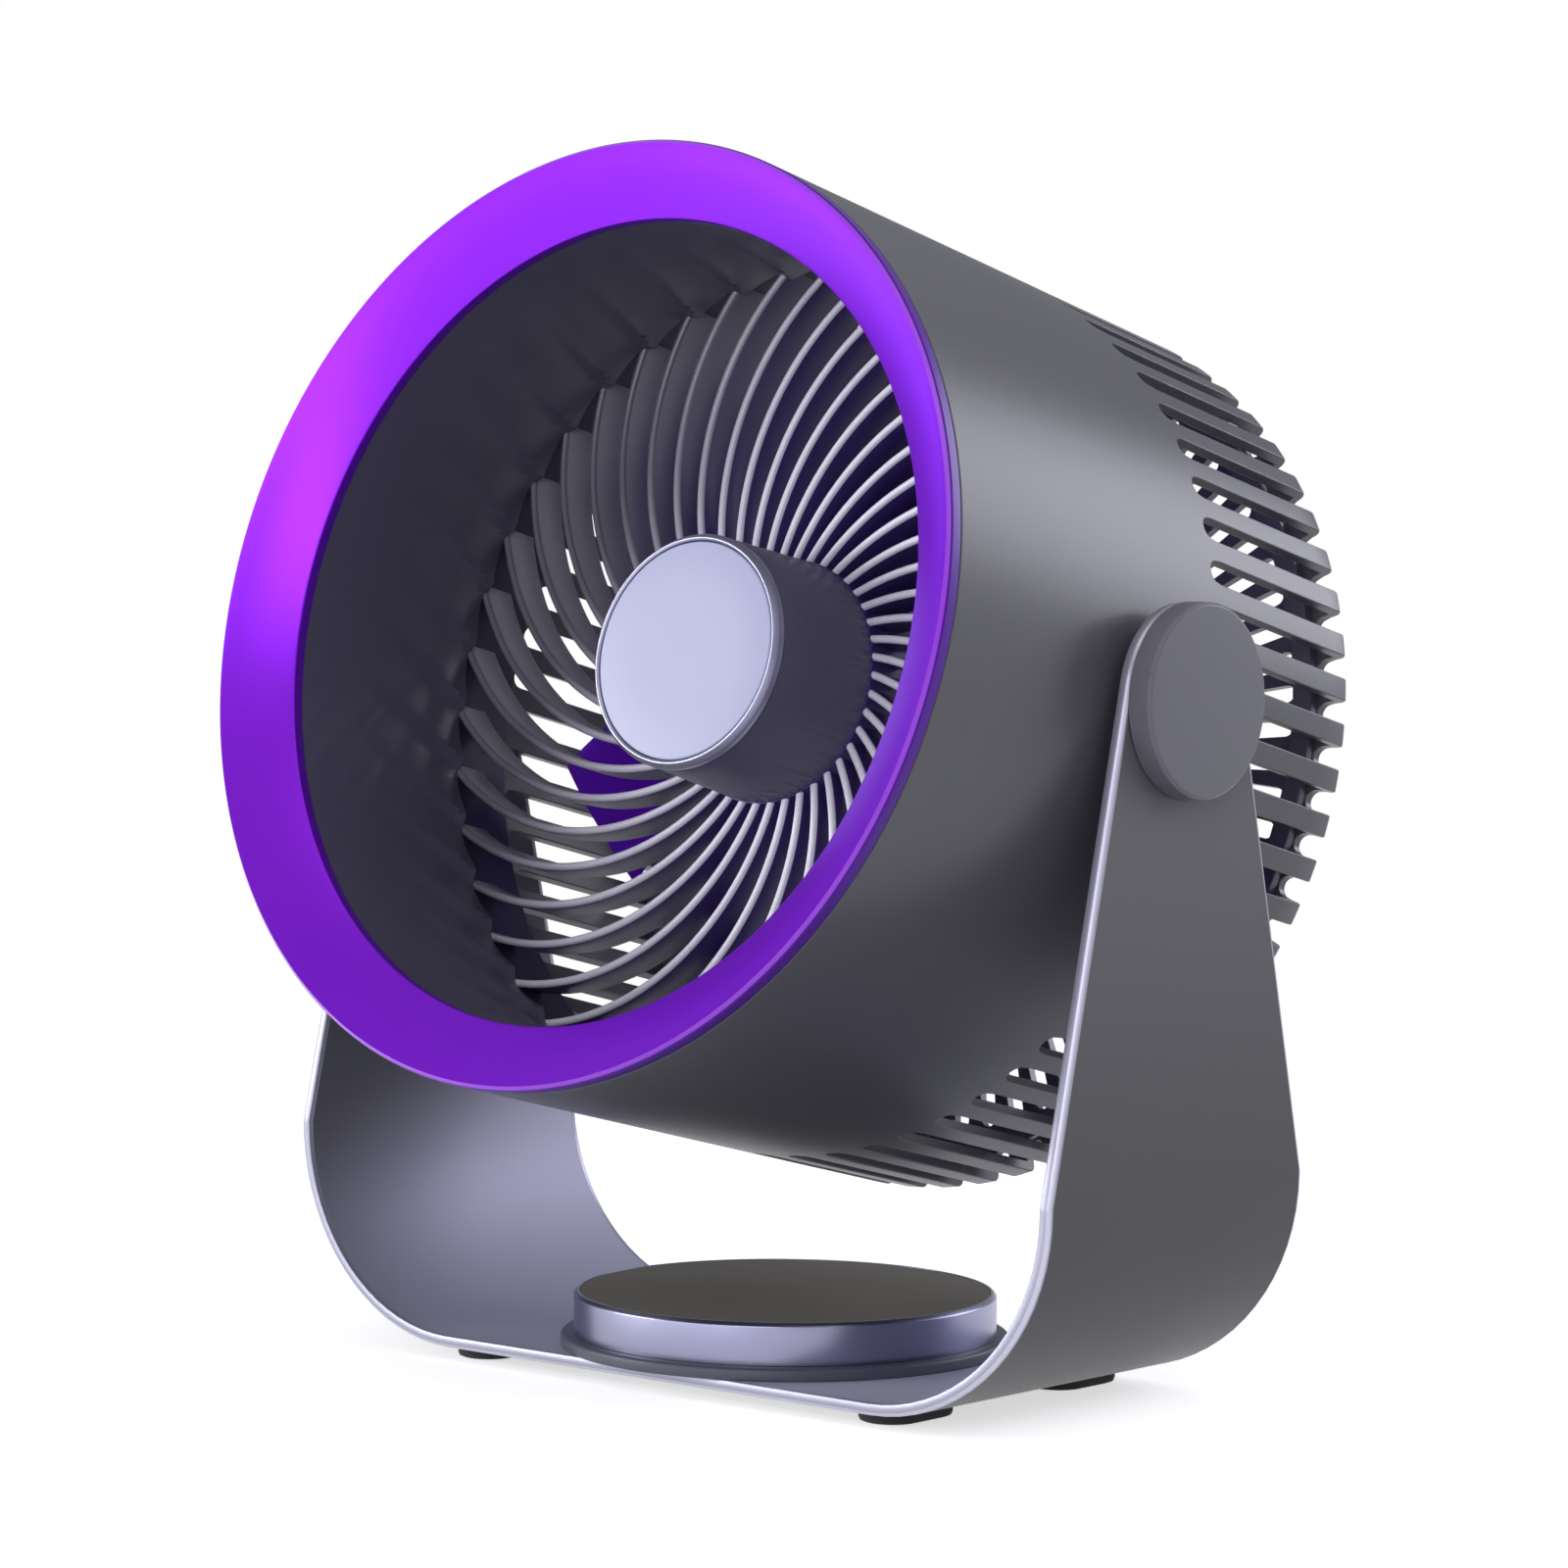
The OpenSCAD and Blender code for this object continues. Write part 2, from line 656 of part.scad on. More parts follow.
module bearing_front() bearing(tube_front);
module bearing_rear() bearing(pod_front - pod_wall + bearing_w);

// Rear grille and control pod
flange_t = 2.2;
flange_r = drum_r - slot_in - slide - seat;
flange_margin = 1;
flange_in_r = grille_out_r + flange_margin;
button_rise = 0.8;
button_face_t = 1.4;
button_flange_t = 1;
button_flange_w = 1.6;
board_r = 29;
board_t = 1.6;
board_clear = 6.2;
board_back = grille_back + board_clear;
switch_r = 3.2;
light_r = 1.2;
light_place = 20;
light_turn = 24;
inlet_place = 21;
inlet_wall = 0.4;
inlet_depth = 6.6;
tongue_t = 0.7;
tongue_w = 6.6;

module at_lights() for (i = [0 : light_count - 1])
    rotate(90 + (i - (light_count - 1) / 2) * light_turn) translate([light_place, 0, 0]) children();

module inlet_outline(grow) translate([0, -inlet_place])
    stadium(-inlet_w / 2 - grow, inlet_w / 2 + grow, inlet_h + 2 * grow);

module rear_grille() color(dark_grey) on_head() difference() {
    rotate_extrude() polygon([
        [0, grille_face], [rear_open_r - slide, grille_face], [rear_open_r - slide, grille_back],
        [flange_r, grille_back], [flange_r, grille_back + flange_t],
        [flange_in_r, grille_back + flange_t], [flange_in_r, grille_back], [0, grille_back]]);
    translate([0, 0, grille_face - over]) linear_extrude(rear_wall + 2 * over) {
        ring_of(grille_count) stadium(grille_mid_r, grille_out_r, grille_slot_w);
        ring_of(grille_count / 2) stadium(grille_in_r, grille_mid_r - grille_band_w, grille_slot_w);
    }
    disc(button_r + slide, grille_face - over, grille_back + over);
    at_lights() disc(light_r + seat, grille_face - over, grille_back + over);
    translate([0, 0, grille_face - over]) linear_extrude(rear_wall + 2 * over) inlet_outline(seat);
    at_grille_screws() disc(grille_screw_r - seat, grille_back - over, grille_back + flange_t + over);
}

grille_screw_head_r = 2.1;
grille_screw_head_t = 0.9;
grille_screw_l = 4;

module grille_screws() color(steel) on_head() at_grille_screws() {
    disc(grille_screw_head_r, grille_face - grille_screw_head_t, grille_face);
    disc(grille_screw_r - 2 * seat, grille_face - grille_screw_head_t, grille_face + grille_screw_l);
}

module control_pod() color(deep_grey) on_head() difference() {
    union() {
        tube(pod_r, pod_r - pod_wall, grille_back, pod_front);
        disc(pod_r, pod_front - pod_wall, pod_front);
        disc(tube_r, pod_front - pod_wall, tube_front);
        tube(pod_r - pod_wall / 2, board_r - pod_wall, board_back + board_t, pod_front - pod_wall / 2);
    }
    disc(bearing_r, pod_front - pod_wall, tube_front + over);
}

battery_w = 44;
battery_h = 30;
battery_t = pod_front - pod_wall - board_back - board_t - 2 * seat;

module battery_pack() color("#2E4F8C") on_head()
    translate([-battery_w / 2, -battery_h / 2, board_back + board_t + seat])
        cube([battery_w, battery_h, battery_t]);

module control_board() color(board_green) on_head() disc(board_r, board_back, board_back + board_t);

module button_switch() color("#26262A") on_head()
    disc(switch_r, grille_back + button_flange_t + button_travel + 2 * seat, board_back);

module charging_inlet() color(silver) on_head() {
    translate([0, 0, grille_face]) linear_extrude(inlet_depth) difference() {
        inlet_outline(0);
        inlet_outline(-inlet_wall);
    }
    translate([0, 0, grille_face + inlet_depth]) linear_extrude(board_back - grille_face - inlet_depth)
        inlet_outline(0);
    translate([-tongue_w / 2, -inlet_place - tongue_t / 2, grille_face + over])
        cube([tongue_w, tongue_t, inlet_depth]);
}

module indicator_lights() color("white") on_head() at_lights() disc(light_r, grille_face, board_back);

module power_button() color(violet) on_head() {
    disc(button_r, grille_face - button_rise, grille_back);
    disc(button_r + button_flange_w, grille_back + seat, grille_back + seat + button_flange_t);
    disc(button_r, grille_back - seat, grille_back + seat + button_flange_t);
}

stand_band();
edge_trim();
foot_pads();
base_plate();
ballast_disc();
base_housing();
base_top();
base_screws();
arm_bush_left();
arm_bush_right();
friction_washer_left();
friction_washer_right();
pivot_cap_left();
pivot_cap_right();
drum_shell();
front_ring();
inner_duct();
guide_vanes();
hub_nose();
cap_rim();
cap_disc();
pivot_insert_left();
pivot_insert_right();
pivot_bolt_left();
pivot_bolt_right();
rear_grille();
grille_screws();
control_pod();
battery_pack();
control_board();
button_switch();
charging_inlet();
indicator_lights();
stator_core();
stator_windings();
bearing_front();
bearing_rear();
impeller();
rotor_ring();
magnet_ring();
motor_shaft();
power_button();
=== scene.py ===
"""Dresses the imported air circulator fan: finished surfaces, round edges, light and camera."""

import json
import logging
import math
from dataclasses import dataclass, field
from enum import Enum
from typing import Iterable, Optional, Sequence

import bmesh
import bpy
import numpy as np
from mathutils import Matrix, Vector
from mathutils.geometry import delaunay_2d_cdt

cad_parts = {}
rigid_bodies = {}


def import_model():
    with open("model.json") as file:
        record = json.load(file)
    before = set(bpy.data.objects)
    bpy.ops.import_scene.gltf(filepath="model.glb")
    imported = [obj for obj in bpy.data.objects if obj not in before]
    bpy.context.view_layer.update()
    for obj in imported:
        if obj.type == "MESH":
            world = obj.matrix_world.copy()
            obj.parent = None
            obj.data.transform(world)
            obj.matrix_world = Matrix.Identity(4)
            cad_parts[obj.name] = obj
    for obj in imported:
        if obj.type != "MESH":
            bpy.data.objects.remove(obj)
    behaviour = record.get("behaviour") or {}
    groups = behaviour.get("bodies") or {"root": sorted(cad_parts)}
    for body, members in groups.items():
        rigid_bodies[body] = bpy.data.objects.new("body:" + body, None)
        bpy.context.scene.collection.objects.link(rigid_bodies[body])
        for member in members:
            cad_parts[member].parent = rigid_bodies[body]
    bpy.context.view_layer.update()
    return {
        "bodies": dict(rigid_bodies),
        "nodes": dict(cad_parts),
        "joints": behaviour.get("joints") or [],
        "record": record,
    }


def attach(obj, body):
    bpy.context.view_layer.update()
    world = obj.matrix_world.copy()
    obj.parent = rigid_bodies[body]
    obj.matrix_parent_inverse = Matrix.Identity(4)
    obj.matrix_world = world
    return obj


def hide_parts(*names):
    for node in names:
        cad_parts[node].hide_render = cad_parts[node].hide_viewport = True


LOG = logging.getLogger("fan_scene")
MM = 0.001
WHITE = "#FFFFFF"
Point = tuple[float, float]
Array = np.ndarray


# Small geometry tools. Lengths are in millimetres until a mesh is made.


def arc_points(centre: Point, radius: float, start: float, end: float, steps: int) -> list[Point]:
    """Points along an arc.

    Args:
        centre: the arc's centre.
        radius: its radius.
        start: first angle in degrees.
        end: last angle in degrees.
        steps: number of intervals.

    Returns:
        steps + 1 points.
    """
    angles = np.radians(np.linspace(start, end, steps + 1))
    return [(centre[0] + radius * math.cos(t), centre[1] + radius * math.sin(t)) for t in angles]


def rounded(points: Sequence[Point], radii: Sequence[float], closed: bool, steps: int = 4) -> list[Point]:
    """Rounds the corners of a line or a closed outline.

    Args:
        points: the corners.
        radii: one radius for each corner, 0 for a sharp one.
        closed: whether the last corner joins the first.
        steps: intervals in each round.

    Returns:
        The points of the rounded line.
    """
    made: list[Point] = []
    count = len(points)
    for i, (corner, radius) in enumerate(zip(points, radii)):
        here = np.array(corner, float)
        if radius <= 0 or (not closed and i in (0, count - 1)):
            made.append(tuple(here))
            continue
        before = np.array(points[i - 1], float) - here
        after = np.array(points[(i + 1) % count], float) - here
        before_l, after_l = np.linalg.norm(before), np.linalg.norm(after)
        u, v = before / before_l, after / after_l
        half = math.acos(float(np.clip(u @ v, -1, 1))) / 2
        reach = min(radius / math.tan(half), 0.49 * before_l, 0.49 * after_l)
        radius = reach * math.tan(half)
        middle = (u + v) / np.linalg.norm(u + v) * (radius / math.sin(half))
        first, last = u * reach - middle, v * reach - middle
        turn = math.atan2(first[0] * last[1] - first[1] * last[0], float(first @ last))
        for k in range(steps + 1):
            t = turn * k / steps
            spin = np.array([[math.cos(t), -math.sin(t)], [math.sin(t), math.cos(t)]])
            made.append(tuple(here + middle + spin @ first))
    return made


def grid_faces(rows: int, columns: int, wrap_rows: bool, wrap_columns: bool) -> list[tuple[int, ...]]:
    """Quads over a grid of vertices that is stored row by row.

    Args:
        rows: number of rows.
        columns: number of columns.
        wrap_rows: whether the last row joins the first.
        wrap_columns: whether the last column joins the first.

    Returns:
        The faces as index tuples.
    """
    faces = []
    for i in range(rows if wrap_rows else rows - 1):
        for j in range(columns if wrap_columns else columns - 1):
            k, m = (i + 1) % rows, (j + 1) % columns
            faces.append((i * columns + j, i * columns + m, k * columns + m, k * columns + j))
    return faces


def ring_angles(count: int, turn: float) -> Array:
    """Gives evenly spread angles.

    Args:
        count: how many.
        turn: the first one in degrees.

    Returns:
        Angles in degrees.
    """
    return turn + np.arange(count) * 360.0 / count


def polar(radius: Array, angle: Array, along: Array) -> Array:
    """Places points around z.

    Args:
        radius: radii.
        angle: angles in radians.
        along: places along z.

    Returns:
        Array with a last axis of 3.
    """
    radius, angle, along = np.broadcast_arrays(radius, angle, along)
    return np.stack([radius * np.cos(angle), radius * np.sin(angle), along], -1)


def full_turn(steps: int) -> Array:
    """Gives the angles of a full turn, in radians, without its end."""
    return np.linspace(0, 2 * math.pi, steps, endpoint=False)


@dataclass
class Shape:
    """Vertices and faces that grow into one mesh, with a finish number for each face."""

    points: list[tuple[float, float, float]] = field(default_factory=list)
    faces: list[tuple[int, ...]] = field(default_factory=list)
    finishes: list[int] = field(default_factory=list)

    def add(self, points: Array, faces: Iterable[Sequence[int]], finish: int | Sequence[int] = 0) -> "Shape":
        """Adds points and the faces on them.

        Args:
            points: array of points, one a row.
            faces: faces that number these points from 0.
            finish: finish number of all faces, or one number a face.

        Returns:
            The shape itself.
        """
        start = len(self.points)
        self.points.extend(map(tuple, np.asarray(points, float).reshape(-1, 3)))
        faces = [tuple(start + i for i in f) for f in faces]
        self.faces.extend(faces)
        self.finishes.extend([finish] * len(faces) if isinstance(finish, int) else finish)
        return self

    def grid(
        self, net: Array, wrap_rows: bool, wrap_columns: bool, finish: int | Sequence[int] = 0
    ) -> "Shape":
        """Adds a net of quads.

        Args:
            net: array of rows x columns x 3.
            wrap_rows: whether the last row joins the first.
            wrap_columns: whether the last column joins the first.
            finish: finish number of all faces, or one number a face.

        Returns:
            The shape itself.
        """
        rows, columns = net.shape[:2]
        return self.add(net, grid_faces(rows, columns, wrap_rows, wrap_columns), finish)

    def lathe(
        self, profile: Sequence[Point], steps: int = 192, closed: bool = True, finish: int | Sequence[int] = 0
    ) -> "Shape":
        """Adds a profile turned around z.

        Args:
            profile: points of radius and height.
            steps: number of intervals around.
            closed: whether the profile's last point joins its first.
            finish: finish number of all faces, or one number a face.

        Returns:
            The shape itself.
        """
        r, a = np.array(profile, float).T[..., None]
        return self.grid(polar(r, full_turn(steps), a), closed, True, finish)

    def plate(self, outer: Array, inner: Array, solid: Array) -> "Shape":
        """Adds a pierced plate that wraps around: two skins and the walls of every opening.

        Args:
            outer: outer skin, rows x columns x 3.
            inner: inner skin of the same size.
            solid: for each cell of the net whether it is there.

        Returns:
            The shape itself.
        """
        rows, columns = outer.shape[:2]
        back = rows * columns
        faces: list[tuple[int, ...]] = []
        for i in range(rows - 1):
            for j in range(columns):
                if not solid[i, j]:
                    continue
                m = (j + 1) % columns
                a, b, c, d = i * columns + j, i * columns + m, (i + 1) * columns + m, (i + 1) * columns + j
                faces.append((a, b, c, d))
                faces.append((back + a, back + d, back + c, back + b))
                if i == 0 or not solid[i - 1, j]:
                    faces.append((a, back + a, back + b, b))
                if i == rows - 2 or not solid[i + 1, j]:
                    faces.append((c, back + c, back + d, d))
                if not solid[i, j - 1]:
                    faces.append((d, back + d, back + a, a))
                if not solid[i, m]:
                    faces.append((b, back + b, back + c, c))
        return self.add(np.concatenate([outer.reshape(-1, 3), inner.reshape(-1, 3)]), faces)

    def mesh(self, name: str) -> bpy.types.Mesh:
        """Makes a mesh in metres.

        Args:
            name: the mesh's name.

        Returns:
            The mesh.
        """
        mesh = bpy.data.meshes.new(name)
        mesh.from_pydata([tuple(c * MM for c in p) for p in self.points], [], self.faces)
        return mesh


def inside(points: Array, outline: Array) -> Array:
    """Tells which points lie within an outline.

    Args:
        points: array of x and y.
        outline: the outline's corners.

    Returns:
        One truth value a point.
    """
    x, y = points[:, :1], points[:, 1:]
    (ax, ay), (bx, by) = outline.T, np.roll(outline, -1, 0).T
    crosses = (ay > y) != (by > y)
    rise = np.where(by == ay, 1.0, by - ay)
    return (crosses & (x < ax + (bx - ax) * (y - ay) / rise)).sum(1) % 2 == 1


def punched(outline: Sequence[Point], holes: Sequence[Sequence[Point]], low: float, high: float) -> Shape:
    """Makes a flat sheet with holes.

    Args:
        outline: the sheet's outer line.
        holes: the outline of each hole.
        low: lower face along z.
        high: upper face along z.

    Returns:
        The closed shape.
    """
    loops = [list(outline)] + [list(hole) for hole in holes]
    flat = [Vector(p) for loop in loops for p in loop]
    edges = []
    start = 0
    for loop in loops:
        edges += [(start + i, start + (i + 1) % len(loop)) for i in range(len(loop))]
        start += len(loop)
    made, _, faces, _, _, _ = delaunay_2d_cdt(flat, edges, [], 1, 1e-6)
    middles = np.array([[sum(made[i][k] for i in face) / len(face) for k in (0, 1)] for face in faces])
    gone = np.zeros(len(faces), bool)
    for hole in holes:
        gone |= inside(middles, np.array(hole))
    faces = [face for face, drop in zip(faces, gone) if not drop]
    count = len(made)
    points = [(p[0], p[1], a) for a in (low, high) for p in made]
    top = [tuple(i + count for i in face) for face in faces]
    bottom = [tuple(reversed(face)) for face in faces]
    sides: dict[tuple[int, int], int] = {}
    for face in faces:
        for i, j in zip(face, face[1:] + face[:1]):
            key = (min(i, j), max(i, j))
            sides[key] = sides.get(key, 0) + 1
    walls = [(i, j, j + count, i + count) for (i, j), uses in sides.items() if uses == 1]
    return Shape().add(np.array(points), top + bottom + walls)


def circle(centre: Point, radius: float, steps: int) -> list[Point]:
    """Gives the points of a circle.

    Args:
        centre: its centre.
        radius: its radius.
        steps: number of points.

    Returns:
        The points.
    """
    return arc_points(centre, radius, 0, 360, steps)[:-1]


def stadium(start: Point, end: Point, half: float, steps: int) -> list[Point]:
    """Gives the outline of a slot with round ends.

    Args:
        start: centre of the first end.
        end: centre of the other end.
        half: half of the slot's width.
        steps: intervals in each end.

    Returns:
        The points.
    """
    way = math.degrees(math.atan2(end[1] - start[1], end[0] - start[0]))
    far = arc_points(end, half, way - 90, way + 90, steps)
    return far + arc_points(start, half, way + 90, way + 270, steps)


# Finishes


@dataclass(frozen=True)
class Blend:
    """Second colour that a surface passes into along a direction: here it paints light and shade."""

    colour: str
    way: tuple[float, float, float]
    start_mm: float
    end_mm: float


@dataclass(frozen=True)
class Finish:
    """What a surface is made of and how it was finished.

    A grain that is too fine for the picture is drawn as coarse as it needs to show, 0.15 mm or more.
    """

    name: str
    colour: str
    second: str
    roughness: float
    grain_mm: float
    bump_mm: float
    metallic: float = 0.0
    brushed: Optional[tuple[float, float, float]] = None
    transmission: float = 0.0
    shine: float = 0.5
    blend: Optional[Blend] = None


# How far the roughness swings with the grain, how wide the patches of the second colour are, and how
# much of its grain's fineness a brushed finish keeps along the lines.
ROUGH_SWING = 0.05
PATCH_MM = 40.0
BRUSH_SHARE = 0.06
# Directions in which the painted light and shade blend: across the vanes, down the band and up the band.
VANE_WAY = (1.0, 0.0, -0.29)
BAND_WAY = (0.0, 0.8, -1.6)
UP_WAY = (0.0, 0.0, 1.0)

# Spark erosion of the mould: a fine, even grain with a soft sheen.
SHELL = Finish("ABS spark eroded grey", "#606067", "#595961", 0.34, 0.35, 0.008, shine=0.42)
# The same grain in a paler mix, so that the pivot caps stand off from the shell.
KNOB = Finish("ABS spark eroded light grey", "#7A7A82", "#73737C", 0.40, 0.35, 0.008, shine=0.35)
# Baked powder: a slight orange peel and dull. The blend to a lighter grey up the arms is painted light, with
# the darker grey low down as painted shade.
BAND = Finish(
    "Steel satin powder coat grey", "#565659", "#505054", 0.38, 0.6, 0.008, shine=0.26,
    blend=Blend("#6E6E73", UP_WAY, 30, 130),
)
# Anodised on a pickled face: soft and cloudy. The pale lavender towards the foot of the band is painted light
# from the floor.
SATIN = Finish(
    "Aluminium satin anodised lavender", "#62626E", "#5C5C68", 0.62, 0.3, 0.003, metallic=0.45,
    blend=Blend("#BCBCD2", BAND_WAY, -112, -22),
)
# Sheared and satin finished: a narrow pale line.
EDGE = Finish("Aluminium satin edge", "#ACACBC", "#A2A2B2", 0.40, 0.3, 0.003, metallic=0.5)
# Cut with a diamond tool. Its colour, lighter than the strip's, is partly the cut's own polish and partly a
# painted highlight along the bevel.
CUT = Finish("Aluminium bright cut bevel", "#CCCCDC", "#C2C2D2", 0.34, 0.3, 0.002, metallic=0.7)
# Turned and anodised: a metal sheen that runs around the puck.
PUCK = Finish("Aluminium satin turned lavender", "#9A9AB4", "#9090AA", 0.30, 0.3, 0.003, metallic=1.0)
# A coarse mould grain in a dark grey, on the lower tier under the puck.
PUCK_DARK = Finish("ABS moulded puck plate", "#4E4E5E", "#464656", 0.45, 0.35, 0.012)
# Soft touch skin: dry, matt and slightly warm.
SOFT = Finish("TPE soft touch olive grey", "#716E64", "#68655B", 0.72, 0.25, 0.020)
# Moulded rubber: matt black.
FOOT = Finish("Rubber moulded black", "#2A292C", "#232226", 0.80, 0.3, 0.030)
# Metallic pigment under satin lacquer: a strong violet with broad, soft highlights.
RING = Finish(
    "ABS satin metallic lacquer violet", "#9828F6", "#9222F0", 0.34, 0.5, 0.004, metallic=0.66, shine=0.3
)
# Gloss lacquer on the cut edge, in a lighter violet that paints the thin highlight line along it.
RING_EDGE = Finish("ABS gloss lacquer cut edge violet", "#B04CFA", "#A844F2", 0.22, 0.5, 0.003)
# A deeper violet on the ring's flanks and on the wall of its inner lip: painted shade.
RING_SIDE = Finish("ABS satin lacquer shaded violet", "#5A00A8", "#54009E", 0.36, 0.5, 0.004, shine=0.3)
# A dark mix with a fine grain: a quiet depth behind the ring.
DUCT = Finish("ABS moulded dark plum", "#5A586C", "#535163", 0.34, 0.4, 0.008)
# Fine grain in grey. Towards the right the faces pass into a dark violet: painted shade with a painted violet
# reflection.
VANE = Finish(
    "ABS moulded vane grey", "#ACAAB4", "#A2A0AA", 0.42, 0.35, 0.010,
    blend=Blend("#49387C", VANE_WAY, -112, -66),
)
# Dark violet grey on the outer ring, whose inside shows between the vanes' roots: painted shade of that
# recess.
VANE_RING = Finish("ABS moulded dark violet grey", "#3C3554", "#36304C", 0.42, 0.35, 0.010)
# Pale lavender lines on the vanes' front edges. They pass from a dark grey on the left to near white on the
# right: painted shade where the duct shades the left, painted light on the right.
VANE_EDGE = Finish(
    "ABS pad printed lavender edge", "#75727E", "#6F6C78", 0.32, 0.3, 0.004, shine=0.8,
    blend=Blend("#F6F3FF", VANE_WAY, -108, -62),
)
# Moulded with fine ribs: a soft plum cone.
NOSE = Finish("ABS moulded hub plum", "#6E6C84", "#68667C", 0.38, 0.35, 0.010)
# Satin paint: pale and even.
DISC = Finish("ABS satin lavender", "#B6BAD6", "#B0B4D0", 0.42, 0.5, 0.004)
# Turned: a thin bright circle with faint tool lines.
RIM = Finish(
    "Aluminium turned satin", "#C4C6DA", "#B6B8CC", 0.32, 0.25, 0.003, metallic=0.7, brushed=(30, 30, 1)
)
# Dyed plastic with a mould gloss: a dark violet glow between the vanes.
BLADE = Finish("ABS moulded deep violet", "#7A1AE8", "#6E14D8", 0.34, 0.4, 0.008)
# Milky plastic: pale domes that let some light in.
LENS = Finish("Polycarbonate diffuse white", "#F0F0F4", "#E2E2EA", 0.22, 0.4, 0.004, transmission=0.25)
# Turned from natural rod: creamy and waxy.
NYLON = Finish("Nylon natural turned", "#D8D2C0", "#CCC6B2", 0.45, 0.3, 0.008)
# Pressed fibre: dry and dark, like felt.
FIBRE = Finish("Fibre washer pressed", "#2E2C2E", "#242224", 0.85, 0.15, 0.030)
# Zinc plate: a cool, bright grey.
STEEL = Finish("Steel zinc plated", "#A6A8AE", "#94969C", 0.30, 0.2, 0.004, metallic=1.0)
# Turned brass: warm yellow with rings from the tool.
BRASS = Finish("Brass turned", "#B89A52", "#A68844", 0.30, 0.15, 0.006, metallic=1.0, brushed=(1, 20, 20))
# Rolled plate without paint: dull, with darker patches.
IRON = Finish("Steel plate raw rolled", "#6A6C70", "#56585C", 0.50, 0.4, 0.015, metallic=0.9)
# Powder in a binder: a stony grey.
MAGNET = Finish("Ferrite bonded", "#3C3C40", "#303034", 0.62, 0.2, 0.015)
# Stacked sheets: grey with faint layers.
LAMINATION = Finish("Steel stamped laminations", "#7C7E84", "#5C5E64", 0.42, 0.35, 0.030, metallic=0.8)
# Enamelled wire: orange brown under a varnish gloss.
COPPER = Finish("Copper enamelled wire", "#B4693A", "#8E4A24", 0.28, 0.3, 0.080, metallic=0.8)
# Solder mask over glass cloth: green and glassy.
BOARD = Finish("Glass epoxy solder mask green", "#1F5B3A", "#17492E", 0.35, 0.5, 0.010)
# Shrunk film: taut, blue and half glossy.
SLEEVE = Finish("PVC shrink sleeve blue", "#2E4F8C", "#26437A", 0.30, 1.2, 0.020)
# Moulded nylon: plain black.
SWITCH = Finish("Nylon moulded black", "#26262A", "#1E1E22", 0.50, 0.3, 0.010)


def linear(code: str) -> tuple[float, float, float, float]:
    """Turns an sRGB hex code into linear red, green, blue and alpha.

    Args:
        code: such as "#A0B1C2".

    Returns:
        Four numbers for a shader socket.
    """
    values = [int(code[i : i + 2], 16) / 255 for i in (1, 3, 5)]
    return (*[v / 12.92 if v <= 0.04045 else ((v + 0.055) / 1.055) ** 2.4 for v in values], 1.0)


